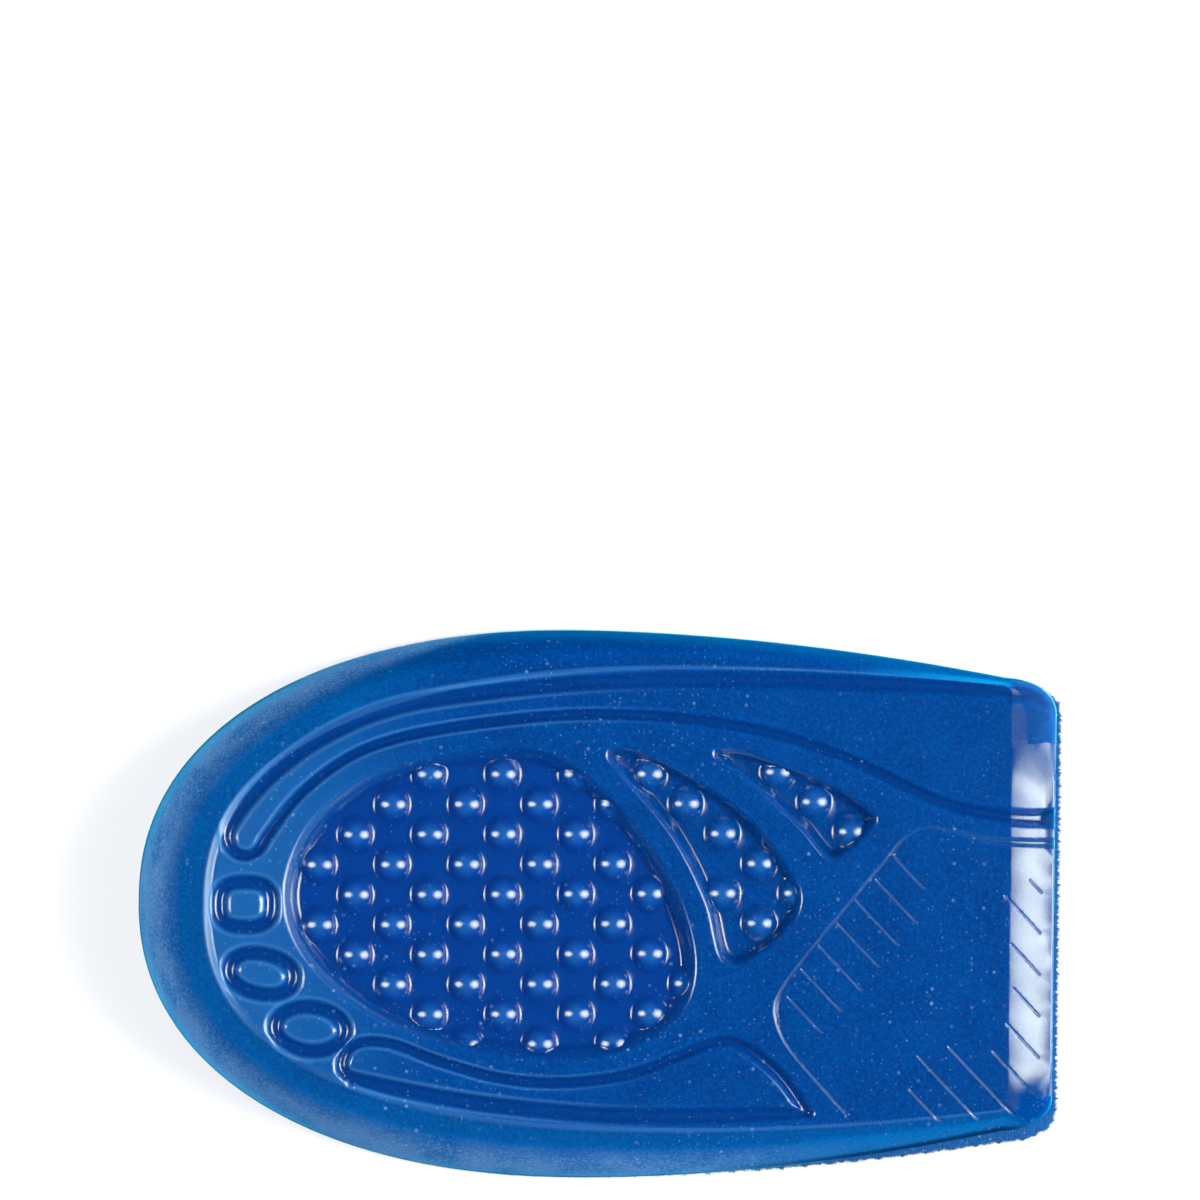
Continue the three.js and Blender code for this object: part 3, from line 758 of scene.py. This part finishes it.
def within_loop(plan, faces, loop):
    """The triangles without those that lie outside the loop, between its own corners."""
    edges = {frozenset(pair) for pair in zip(loop, loop[1:] + loop[:1])}
    on_loop = set(loop)
    inner = [tuple(face) for face in faces if not on_loop.issuperset(face)]
    taken = {frozenset(pair) for face in inner for pair in zip(face, face[1:] + face[:1])} & edges
    ears = [tuple(face) for face in faces if on_loop.issuperset(face)]
    middles = np.array([plan[list(face)].mean(axis=0) for face in ears]).reshape(-1, 2)
    for face, within in zip(ears, is_inside(middles, plan[loop])):
        sides = {frozenset(pair) for pair in zip(face, face[1:] + face[:1])}
        if within and not sides & taken:
            inner.append(face)
    return inner


def gel_body(material):
    """The moulded gel without its nubs: sole side, rounded rim and dish."""
    rim = gel_edge - sole_edge
    share = RIM_JOIN + (FRONT_JOIN - RIM_JOIN) * rising(gel_edge[:, 0], "joinX")
    join = sole_edge + rim * share[:, None]
    plan, faces, join_index = sole_triangles(join)

    rings = []
    for ring in RING_SHARES:
        flat = sole_edge + rim * (share + (1 - share) * ring)[:, None]
        rings.append(at_height(flat, top_height(flat)))
    rings.append(at_height(gel_edge, np.maximum(rings[-1][:, 2] - EDGE_WALL, GEL_UNDER + EDGE_FOOT)))
    rings.append(at_height(offset_rows(gel_edge, True, [-EDGE_BULGE]), GEL_UNDER + BULGE_FOOT))
    rings.append(at_height(offset_rows(gel_edge, True, [BRIM]), GEL_UNDER))
    rings += cup_rings(gel_edge, GEL_UNDER)[::-1]

    size = len(join)
    start = len(plan)
    after = [(i + 1) % size for i in range(size)]
    faces += [(join_index[i], start + i, start + after[i], join_index[after[i]]) for i in range(size)]
    for _ in rings[1:]:
        faces += ring_quads(start + size, start, size)
        start += size
    faces += [(start + i, start + size, start + after[i]) for i in range(size)]
    middle = [(CUP["x"], 0, cup_height(CUP["x"], 0) + GEL_UNDER)]
    corners = np.vstack([at_height(plan, top_height(plan)), *rings, middle])
    return mesh_object("gel_body", corners, faces, material)


def nub_places():
    """Plan points of the nubs that stand in the fields."""
    lattice = NUB_LATTICE
    reach = range(-lattice["reach"], lattice["reach"] + 1)
    steps = np.array([(i, j) for i in reach for j in reach if (i + j) % 2 == 0])
    along = steps * [lattice["stepX"], lattice["stepY"]]
    turn = lattice["turn"]
    grid = np.column_stack([along[:, 0] - turn * along[:, 1], along[:, 1] + turn * along[:, 0]])
    grid += [lattice["x"], lattice["y"]]
    places = []
    for name, edge in field_edges.items():
        shifted = grid + FIELDS[name]["nubShift"]
        away, _ = nearest_on(shifted, edge, True)
        places.append(shifted[is_inside(shifted, edge) & (away > NUB["inset"])])
    return np.vstack(places)


# Node helpers


def fill(tree, node, inputs):
    """Sets or links a node's inputs."""
    for name, value in inputs.items():
        if isinstance(value, bpy.types.NodeSocket):
            tree.links.new(value, node.inputs[name])
        else:
            node.inputs[name].default_value = value


def add_node(tree, kind, inputs=None, **settings):
    """A node with its settings, and its inputs set or linked."""
    node = tree.nodes.new(kind)
    for name, value in settings.items():
        setattr(node, name, value)
    fill(tree, node, inputs or {})
    return node


def calc(tree, operation, first, second=0.0, clamp=False):
    """The result of one operation on one or two values."""
    node = add_node(tree, "ShaderNodeMath", {0: first, 1: second}, operation=operation, use_clamp=clamp)
    return node.outputs[0]


def spread(tree, value, low, high, out_low=0.0, out_high=1.0):
    """A value taken from one range smoothly to another."""
    inputs = {"Value": value, "From Min": low, "From Max": high, "To Min": out_low, "To Max": out_high}
    return add_node(tree, "ShaderNodeMapRange", inputs, interpolation_type="SMOOTHSTEP").outputs["Result"]


def noise(tree, place, scale, detail):
    """A cloudy pattern from 0 to 1."""
    inputs = {"Vector": place, "Scale": scale, "Detail": detail}
    return add_node(tree, "ShaderNodeTexNoise", inputs).outputs["Fac"]


def vector(tree, operation, inputs, output=0):
    """The result of one operation on vectors."""
    return add_node(tree, "ShaderNodeVectorMath", inputs, operation=operation).outputs[output]


def mix_colour(tree, share, first, second):
    """A colour between two."""
    node = add_node(tree, "ShaderNodeMix", {0: share, 6: first, 7: second}, data_type="RGBA")
    return node.outputs[2]


def new_tree(name, sizes):
    """A geometry tree with named sizes as inputs."""
    tree = bpy.data.node_groups.new(name, "GeometryNodeTree")
    tree.interface.new_socket("Geometry", in_out="INPUT", socket_type="NodeSocketGeometry")
    for size, kind in sizes.items():
        tree.interface.new_socket(size, in_out="INPUT", socket_type=kind)
    tree.interface.new_socket("Geometry", in_out="OUTPUT", socket_type="NodeSocketGeometry")
    return tree


def run_tree(piece, tree, values):
    """Runs a geometry tree on an object and leaves the result as its plain mesh."""
    modifier = piece.modifiers.new(tree.name, "NODES")
    modifier.node_group = tree
    for item in tree.interface.items_tree:
        if item.in_out == "INPUT" and item.name in values:
            modifier[item.identifier] = values[item.name]
    settle(piece)


def settle(piece):
    """Applies an object's modifiers to a new plain mesh."""
    evaluated = piece.evaluated_get(bpy.context.evaluated_depsgraph_get())
    made = bpy.data.meshes.new_from_object(evaluated)
    piece.modifiers.clear()
    old = piece.data
    piece.data = made
    made.name = piece.name
    bpy.data.meshes.remove(old)


# Nubs


def nub_tree(material):
    """A tree that stands a domed nub with a hollow foot on each point."""
    sizes = ["Dome radius", "Foot radius", "Edge slope", "Sink", "Root"]
    tree = new_tree("nub_field", {name: "NodeSocketFloat" for name in sizes})
    given = add_node(tree, "NodeGroupInput").outputs
    dome, foot, slope, sink, root = (given[name] for name in sizes)

    rings = NUB_MESH["rings"]
    dome_end = NUB_MESH["domeRings"] / rings
    foot_stretch = NUB_MESH["footRings"] / rings
    foot_end = dome_end + foot_stretch + NUB_MESH["slack"]
    inputs = {"Segments": NUB_MESH["sides"], "Rings": rings, "Radius": 1.0}
    ball = add_node(tree, "GeometryNodeMeshUVSphere", inputs)
    place = add_node(tree, "GeometryNodeInputPosition").outputs[0]
    split = add_node(tree, "ShaderNodeSeparateXYZ", {0: place}).outputs
    flat = add_node(tree, "ShaderNodeCombineXYZ", {0: split[0], 1: split[1]}).outputs[0]
    outward = vector(tree, "NORMALIZE", {0: flat})
    level = calc(tree, "MINIMUM", calc(tree, "MAXIMUM", split[2], -1.0), 1.0)
    down = calc(tree, "DIVIDE", calc(tree, "ARCCOSINE", level), math.pi)

    on_dome = calc(tree, "LESS_THAN", down, dome_end + NUB_MESH["slack"])
    dome_share = calc(tree, "MINIMUM", calc(tree, "MULTIPLY", down, 1 / dome_end), 1.0)
    dome_angle = calc(tree, "MULTIPLY", dome_share, slope)
    foot_share = calc(tree, "DIVIDE", calc(tree, "SUBTRACT", down, dome_end), foot_stretch, clamp=True)
    foot_angle = calc(tree, "MULTIPLY", calc(tree, "SUBTRACT", 1.0, foot_share), slope)
    under = calc(tree, "DIVIDE", calc(tree, "SUBTRACT", down, foot_end), 1 - foot_end, clamp=True)

    both = calc(tree, "ADD", dome, foot)
    rise = calc(tree, "SUBTRACT", calc(tree, "MULTIPLY", both, versine(tree, slope)), sink)
    dome_out = calc(tree, "MULTIPLY", dome, calc(tree, "SINE", dome_angle))
    dome_up = calc(tree, "SUBTRACT", rise, calc(tree, "MULTIPLY", dome, versine(tree, dome_angle)))
    reach = calc(tree, "MULTIPLY", both, calc(tree, "SINE", slope))
    foot_out = calc(tree, "SUBTRACT", reach, calc(tree, "MULTIPLY", foot, calc(tree, "SINE", foot_angle)))
    foot_out = calc(tree, "MULTIPLY", foot_out, calc(tree, "SUBTRACT", 1.0, under))
    foot_up = calc(tree, "SUBTRACT", calc(tree, "MULTIPLY", foot, versine(tree, foot_angle)), sink)
    rooted = calc(tree, "MULTIPLY", calc(tree, "GREATER_THAN", under, NUB_MESH["rootFrom"]), root)
    foot_up = calc(tree, "SUBTRACT", foot_up, rooted)

    out = add_node(tree, "ShaderNodeMix", {0: on_dome, 2: foot_out, 3: dome_out}).outputs[0]
    up = add_node(tree, "ShaderNodeMix", {0: on_dome, 2: foot_up, 3: dome_up}).outputs[0]
    sideways = vector(tree, "SCALE", {0: outward, 3: out})
    upright = add_node(tree, "ShaderNodeCombineXYZ", {2: up}).outputs[0]
    shape = vector(tree, "ADD", {0: sideways, 1: upright})
    nub = add_node(tree, "GeometryNodeSetPosition", {"Geometry": ball.outputs["Mesh"], "Position": shape})

    tilt = (0.0, math.atan(SOLE_FALL), 0.0)
    stand = add_node(
        tree,
        "GeometryNodeInstanceOnPoints",
        {"Points": given["Geometry"], "Instance": nub.outputs[0], "Rotation": tilt},
    )
    real = add_node(tree, "GeometryNodeRealizeInstances", {0: stand.outputs[0]})
    smooth = add_node(tree, "GeometryNodeSetShadeSmooth", {0: real.outputs[0]})
    finish = add_node(tree, "GeometryNodeSetMaterial", {"Geometry": smooth.outputs[0], "Material": material})
    add_node(tree, "NodeGroupOutput", {0: finish.outputs[0]})
    return tree


def versine(tree, angle):
    """One less the cosine of an angle."""
    return calc(tree, "SUBTRACT", 1.0, calc(tree, "COSINE", angle))


def add_nubs(gel, material):
    """Stands the nubs on the fields' floors and fuses them with the gel."""
    plan = nub_places()
    floor = sole_height(plan[:, 0]) - FIELD_DEPTH
    points = mesh_object("nubs", at_height(plan, floor), [], material)
    sizes = {
        "Dome radius": NUB["dome"] * MM,
        "Foot radius": NUB["foot"] * MM,
        "Edge slope": NUB["slope"],
        "Sink": NUB["sink"] * MM,
        "Root": NUB["root"] * MM,
    }
    run_tree(points, nub_tree(material), sizes)
    join = gel.modifiers.new("nubs", "BOOLEAN")
    join.operation = "UNION"
    join.solver = "MANIFOLD"
    join.object = points
    settle(gel)
    bpy.data.objects.remove(points)


# Finishes


def new_finish(name):
    """A material with its node tree, shader and object coordinates."""
    material = bpy.data.materials.new(name)
    material.use_nodes = True
    tree = material.node_tree
    place = add_node(tree, "ShaderNodeTexCoord").outputs["Object"]
    return material, tree, tree.nodes["Principled BSDF"], place


def gel_finish(name, shine):
    """Blue gel: clear and glossy on the relief, frosted on the rim with a paler painted sheen, with painted
    glow, highlights and shade from marks, and pale specks all over.
    """
    material, tree, shader, place = new_finish(name)
    marks = {}
    for mark in MARKS:
        marks[mark] = add_node(tree, "ShaderNodeAttribute", attribute_name=mark).outputs["Fac"]
    cloud, grain, swell, drift = (noise(tree, place, *size) for size in GEL_NOISE.values())
    over = lambda value, key: spread(tree, value, *GEL_SPREADS[key])

    deep = mix_colour(tree, over(cloud, "cloud"), *GEL_TONES)
    deep = mix_colour(tree, over(grain, "grain"), deep, GEL_GRAIN)
    for mark, tint in RELIEF_COLOURS.items():
        deep = mix_colour(tree, marks[mark], deep, tint)
    frost_sheen = mix_colour(tree, over(cloud, "frostSheen"), *FROST_SHEEN_TONES)
    frost_sheen = mix_colour(tree, over(grain, "frostSheenGrain"), frost_sheen, FROST_SHEEN_GRAIN)
    # Frosted rim: its paler colour is partly a painted sheen
    body = mix_colour(tree, marks["frost_and_sheen"], deep, frost_sheen)
    for mark, tint in EDGE_COLOURS.items():
        body = mix_colour(tree, marks[mark], body, tint)
    body = mix_colour(tree, calc(tree, "MULTIPLY", marks["line"], LINE_SHARE), body, LINE_COLOUR)

    dust = calc(tree, "MAXIMUM", speckle(tree, place, *FINE_DUST), speckle(tree, place, *COARSE_DUST))
    dust = calc(tree, "MULTIPLY", dust, over(drift, "drift"))
    chalk = calc(tree, "MULTIPLY", dust, over(marks["frost_and_sheen"], "chalk"))
    colour = mix_colour(tree, chalk, body, DUST_COLOUR)

    satin = GEL_SATIN
    rougher = [(marks[mark], share) for mark, share in MARK_SATIN.items()]
    rougher += [(marks["front"], over(swell, "frontSatin")), (dust, DUST_SATIN)]
    for mark, share in rougher:
        satin = calc(tree, "ADD", satin, calc(tree, "MULTIPLY", mark, share))

    swing = over(marks["front"], "frontSwing")
    wavy = add_node(tree, "ShaderNodeBump", {"Height": swell, "Strength": swing, "Distance": SWELL_BUMP})
    rough = {"Height": grain, "Strength": GRAIN_STRENGTH, "Distance": GRAIN_BUMP, "Normal": wavy.outputs[0]}
    bump = add_node(tree, "ShaderNodeBump", rough).outputs[0]
    surface = {"Base Color": colour, "Roughness": satin, "Normal": bump, "Specular IOR Level": shine}
    fill(tree, shader, {**surface, **GEL_SHADER})
    return material


def speckle(tree, place, scale, least, strength):
    """Tiny round specks in some cells of a scattered pattern, of many strengths."""
    cells = add_node(tree, "ShaderNodeTexVoronoi", {"Vector": place, "Scale": scale, "Randomness": 1.0})
    lot = add_node(tree, "ShaderNodeSeparateColor", {0: cells.outputs["Color"]}).outputs[0]
    dot = spread(tree, cells.outputs["Distance"], *DOT)
    return calc(tree, "MULTIPLY", dot, spread(tree, lot, least, 1.0, 0.0, strength))


def cloth_finish():
    """Brushed knit cloth in a paler blue."""
    material, tree, shader, place = new_finish("brushed_cloth")
    scale, detail = WARP_NOISE
    warp = add_node(tree, "ShaderNodeTexNoise", {"Vector": place, "Scale": scale, "Detail": detail})
    fuzz = noise(tree, place, *FUZZ_NOISE)
    shift = vector(tree, "SCALE", {0: warp.outputs["Color"], 3: KNIT["warp"]})
    moved = vector(tree, "ADD", {0: place, 1: shift})
    threads = []
    for way in ("X", "Y"):
        inputs = {"Vector": moved, "Scale": KNIT[way], "Distortion": KNIT["distortion"]}
        threads.append(add_node(tree, "ShaderNodeTexWave", inputs, bands_direction=way).outputs["Fac"])
    knit = calc(tree, "MULTIPLY", calc(tree, "MULTIPLY", *threads), KNIT["height"])
    height = calc(tree, "ADD", knit, calc(tree, "MULTIPLY", fuzz, KNIT["fuzz"]))
    blue = mix_colour(tree, spread(tree, height, *CLOTH_RANGE), *CLOTH_TONES)
    colour = mix_colour(tree, speckle(tree, place, *LINT), blue, LINT_COLOUR)
    bump = add_node(tree, "ShaderNodeBump", {"Height": height, **CLOTH_BUMP}).outputs[0]
    fill(tree, shader, {"Base Color": colour, "Normal": bump, **CLOTH_SHADER})
    return material


def floor_finish():
    """Pale matt studio paper."""
    material, tree, shader, place = new_finish("pale_paper")
    colour = mix_colour(tree, noise(tree, place, *PAPER_NOISE), *PAPER_TONES)
    fill(tree, shader, {"Base Color": colour, **PAPER_SHADER})
    return material


def finish_marks(plan, across, front):
    """How strong each mark of the gel's finish is at each plan point."""
    x, y = plan.T
    side = 1 - front
    to_edge, _ = nearest_on(plan, gel_edge, True)
    to_nub = np.min([np.hypot(x - nub_x, y - nub_y) for nub_x, nub_y in nub_places()], axis=0)
    groove_share = groove_depth(plan, grooves) / GROOVE_DEPTH
    line_share = groove_depth(plan, fine_lines) / (LINE_DEPTH * HATCH["width"])
    groove = ease(groove_share)
    heel_field = ease(field_depth(plan, ["heel"]) / FIELD_DEPTH)
    fins = ease(field_depth(plan, ["longFin", "shortFin"]) / FIELD_DEPTH)
    raised = (across < ON_SOLE) * (1 - np.maximum(groove, np.maximum(heel_field, fins)))

    inner_y = rising(y, "innerY")
    inner_side = rising(x, "innerX") * inner_y
    low_front = rising(x, "lowFrontX") * falling(y, "lowFrontY")
    at_heel = falling(x, "heelX") * rising(np.abs(y), "heelY")
    # The frost's paler colour is partly a painted sheen, which starts further out on the inner side and is
    # kept off the low front
    slide = np.clip((x - FROST_AND_SHEEN["slideX"]) / FROST_AND_SHEEN["slideStretch"], 0, FROST_AND_SHEEN["mostSlide"]) * inner_y
    frost_sheen_start = FROST_AND_SHEEN["start"] + FROST_AND_SHEEN["slide"] * slide
    frost_sheen_stretch = FROST_AND_SHEEN["stretch"] - FROST_AND_SHEEN["narrowing"] * np.minimum(slide, 1)
    frost_and_sheen = ease((across - frost_sheen_start) / frost_sheen_stretch) * side * (1 - SHARES["lowFrostSheen"] * low_front)
    clear = rising(across, "clear") * (1 - frost_and_sheen) * side * (1 - rising(x, "innerClearX") * inner_y)

    # Painted glow: light through the thin gel at the outer edge, strongest at the heel, along the inner
    # side's thin rim, on the low front's wall, and a little on the clear rim
    edge_glow = falling(to_edge, "edgeGlow") * (SHARES["edgeGlow"] + SHARES["heelGlow"] * at_heel) * side
    thin_glow = inner_side * rising(x, "thinX") * side * rising(across, "thin") * falling(across, "thin")
    wall_glow = rising(across, "wall") * side * low_front
    inner_glow = SHARES["thinGlow"] * thin_glow + SHARES["wallGlow"] * wall_glow
    # Painted shade along the low front edge, where the gel meets the cloth, and at the outer edge everywhere
    # but the inner side
    low_edge_shade = SHARES["lowEdgeShade"] * low_front * falling(to_edge, "lowEdgeShade")
    edge_shade = SHARES["edgeShade"] * (1 - inner_side) * falling(to_edge, "edgeShade")
    # Painted highlight on the rim's lip, strongest at the heel
    lip = SHARES["lip"] + SHARES["heelLipSheen"] * falling(x, "heelLipSheenX")
    # Painted highlight lines on the grooves' shoulders towards the heel, and painted glow at the front's
    # corner
    painted_sheen = rising(groove_share, "groove") * falling(groove_share, "groove") * falling(x, "sheenX")
    corner = front * past_straight(y, "plusY") * rising(across, "corner")
    return {
        "frost_and_sheen": frost_and_sheen,
        "sunk": np.maximum(np.maximum(heel_field, fins * SHARES["finSunk"]), groove * SHARES["grooveSunk"]),
        # Painted glow on the nubs' domes
        "crown_glow": SHARES["crown_glow"] * falling(to_nub, "crown_glow") * (field_depth(plan) > IN_FIELD * FIELD_DEPTH),
        "glow": np.maximum(np.maximum(edge_glow, SHARES["clearGlow"] * clear), inner_glow),
        "painted_shade": side * np.maximum(low_edge_shade, edge_shade),
        "lip": rising(across, "lip") * falling(across, "lip") * side * lip,
        "painted_sheen": np.maximum(SHARES["painted_sheen"] * painted_sheen, SHARES["corner"] * corner),
        "pale": raised * falling(x, "paleX"),
        "line": ease(line_share),
        "front": front * (1 + SHARES["softFront"] * rising(y, "softFrontY")),
    }


def mark_gel(gel, wall_material):
    """Keeps the marks of the finish on the gel's corners, and makes the wall of its rim matt."""
    mesh = gel.data
    corners = np.empty(len(mesh.vertices) * 3)
    mesh.vertices.foreach_get("co", corners)
    plan = corners.reshape(-1, 3)[:, :2] / MM
    across, _, front = rim_place(plan)
    for mark, values in finish_marks(plan, across, front).items():
        mesh.attributes.new(mark, "FLOAT", "POINT").data.foreach_set("value", values.astype(np.float32))

    turned = past_straight(plan[:, 1], "plusY") + past_straight(-plan[:, 1], "minusY")
    on_wall = (across > WALL_FROM) & ((front < WALL_FRONT) | (turned > CORNER_TURN))
    glossy = mesh.materials[0]
    mesh.materials.clear()
    for finish in (glossy, wall_material):
        mesh.materials.append(finish)
    for face in mesh.polygons:
        face.material_index = int(on_wall[list(face.vertices)].all())


# Cloth cover


def cut_edge():
    """Plan of the cloth's cut edge, which is slightly serrated."""
    edge = plan_loop(COVER_LOOP)
    station = np.arange(len(edge))
    wave = np.sin(station * SERRATION["turn"])
    wave += SERRATION["second"] * np.sin(station * SERRATION["secondTurn"] + SERRATION["shift"])
    return offset_rows(edge, True, [SERRATION["depth"] * wave])


def cover_sheet(material):
    """The cloth cover: a sheet of even thickness over the dish and its rim, with a rounded cut edge."""
    edge = cut_edge()
    size = len(edge)
    inset = offset_rows(edge, True, [CUT_EDGE["inset"]])
    under = cup_rings(edge, 0)
    over = cup_rings(edge, CLOTH_TOP)
    brim = [
        at_height(inset, 0),
        at_height(edge, CLOTH_TOP * CUT_EDGE["low"]),
        at_height(edge, CLOTH_TOP * CUT_EDGE["high"]),
        at_height(inset, CLOTH_TOP),
    ]
    rings = [*under, *brim, *over[::-1]]
    middle = cup_height(CUP["x"], 0)
    corners = np.vstack([*rings, [(CUP["x"], 0, middle)], [(CUP["x"], 0, middle + CLOTH_TOP)]])
    faces = []
    for ring in range(len(rings) - 1):
        faces += ring_quads(ring * size, (ring + 1) * size, size)
    last = (len(rings) - 1) * size
    low, high = len(rings) * size, len(rings) * size + 1
    faces += [((i + 1) % size, i, low) for i in range(size)]
    faces += [(last + i, last + (i + 1) % size, high) for i in range(size)]
    return mesh_object("cloth_cover", corners, faces, material)


def fibre_tree(material):
    """A tree that sets loose fibres along a cut edge."""
    whole, length = "NodeSocketInt", "NodeSocketFloat"
    sizes = {"Count": whole, "Length": length, "Thickness": length, "Seed": whole}
    tree = new_tree("edge_fibres", sizes)
    given = add_node(tree, "NodeGroupInput").outputs
    line = add_node(tree, "GeometryNodeMeshToCurve", {0: given["Geometry"]})
    inputs = {"Curve": line.outputs[0], "Count": given["Count"]}
    spots = add_node(tree, "GeometryNodeCurveToPoints", inputs, mode="COUNT")
    inputs = {
        "Vertices": FIBRE["sides"],
        "Radius Bottom": given["Thickness"],
        "Radius Top": calc(tree, "MULTIPLY", given["Thickness"], FIBRE["tip"]),
        "Depth": given["Length"],
    }
    cone = add_node(tree, "GeometryNodeMeshCone", inputs)
    most = FIBRE["lean"]
    inputs = {0: tuple(-turn for turn in most), 1: most, "Seed": given["Seed"]}
    wobble = add_node(tree, "FunctionNodeRandomValue", inputs, data_type="FLOAT_VECTOR")
    lean = add_node(tree, "FunctionNodeAlignRotationToVector", {"Vector": spots.outputs["Normal"]}, axis="Z")
    inputs = {0: lean.outputs[0], 1: wobble.outputs[0]}
    turned = add_node(tree, "FunctionNodeRotateRotation", inputs, rotation_space="LOCAL")
    inputs = {2: FIBRE["least"], 3: 1.0, "Seed": given["Seed"]}
    size = add_node(tree, "FunctionNodeRandomValue", inputs, data_type="FLOAT")
    inputs = {
        "Points": spots.outputs[0],
        "Instance": cone.outputs[0],
        "Rotation": turned.outputs[0],
        "Scale": size.outputs[1],
    }
    stand = add_node(tree, "GeometryNodeInstanceOnPoints", inputs)
    real = add_node(tree, "GeometryNodeRealizeInstances", {0: stand.outputs[0]})
    finish = add_node(tree, "GeometryNodeSetMaterial", {"Geometry": real.outputs[0], "Material": material})
    add_node(tree, "NodeGroupOutput", {0: finish.outputs[0]})
    return tree


def edge_fibres(material):
    """Loose fibres along the cloth's cut edge."""
    edge = cut_edge()
    size = len(edge)
    mesh = bpy.data.meshes.new("edge_fibres")
    corners = at_height(edge, CLOTH_TOP * FIBRE["level"]) * MM
    mesh.from_pydata(corners.tolist(), [(i, (i + 1) % size) for i in range(size)], [])
    piece = bpy.data.objects.new("edge_fibres", mesh)
    bpy.context.collection.objects.link(piece)
    sizes = {
        "Count": FIBRE["count"],
        "Length": FIBRE["length"] * MM,
        "Thickness": FIBRE["thick"] * MM,
        "Seed": FIBRE["seed"],
    }
    run_tree(piece, fibre_tree(material), sizes)
    return piece


# Studio


def soften(light):
    """Dims a softbox from its middle to its rim."""
    light.use_nodes = True
    tree = light.node_tree
    spot = add_node(tree, "ShaderNodeNewGeometry").outputs["Parametric"]
    away = vector(tree, "DISTANCE", {0: spot, 1: LIGHT_MIDDLE}, "Value")
    fill(tree, tree.nodes["Emission"], {"Strength": spread(tree, away, *LIGHT_FADE)})


def add_floor():
    """A wide pale floor, just below the pad."""
    mesh = bpy.data.meshes.new("floor")
    reach = FLOOR["reach"]
    corners = [(-reach, -reach, 0), (reach, -reach, 0), (reach, reach, 0), (-reach, reach, 0)]
    mesh.from_pydata(corners, [], [(0, 1, 2, 3)])
    mesh.materials.append(floor_finish())
    floor = bpy.data.objects.new("floor", mesh)
    bpy.context.collection.objects.link(floor)
    floor.location.z = -FLOOR["drop"]


def add_light(name, box):
    """A softbox that faces the pad."""
    light = bpy.data.lights.new(name, "AREA")
    light.shape = "ELLIPSE"
    light.size = box["length"]
    light.size_y = box["width"]
    light.energy = box["watts"]
    light.color = LIGHT_COLOUR
    soften(light)
    lamp = bpy.data.objects.new(name, light)
    turn, rise = math.radians(box["azimuth"]), math.radians(box["height"])
    away = Vector((math.cos(turn) * math.cos(rise), math.sin(turn) * math.cos(rise), math.sin(rise)))
    lamp.location = away * LIGHT_DISTANCE
    lamp.rotation_euler = away.to_track_quat("Z", "Y").to_euler()
    bpy.context.collection.objects.link(lamp)


def add_camera(scene):
    """A camera that looks straight down."""
    camera = bpy.data.cameras.new("camera")
    camera.sensor_width = CAMERA["sensor"]
    camera.lens = CAMERA["sensor"] * CAMERA["eye"] / CAMERA["width"]
    camera.clip_end = CAMERA["reach"]
    view = bpy.data.objects.new("camera", camera)
    place = (CAMERA["x"] * MM, CAMERA["y"] * MM, CAMERA["eye"] + CAMERA["lift"])
    view.matrix_world = Matrix.Translation(place) @ Matrix.Rotation(CAMERA["roll"], 4, "Z")
    bpy.context.collection.objects.link(view)
    scene.camera = view


def studio():
    """Pale floor, a softbox on each side, a dim surround and the camera."""
    add_floor()
    for name, box in LIGHTS.items():
        add_light(name, box)
    scene = bpy.context.scene
    scene.world = scene.world or bpy.data.worlds.new("studio")
    scene.world.use_nodes = True
    surround = scene.world.node_tree
    fill(surround, surround.nodes["Background"], WORLD)
    add_camera(scene)
    scene.view_settings.view_transform = "Standard"
    scene.view_settings.look = "None"


# The pad

blue_gel = gel_finish("blue_gel", GEL_SHINE)
matt_gel = gel_finish("matt_gel", WALL_SHINE)
brushed_cloth = cloth_finish()

gel = gel_body(blue_gel)
add_nubs(gel, blue_gel)
mark_gel(gel, matt_gel)
cover = cover_sheet(brushed_cloth)
fringe = edge_fibres(brushed_cloth)
studio()

for piece, node, slot in ((gel, "gel_pad", "gel"), (cover, "top_cover", "cover_cloth")):
    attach(piece, "root")
    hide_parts(node)
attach(fringe, "root")
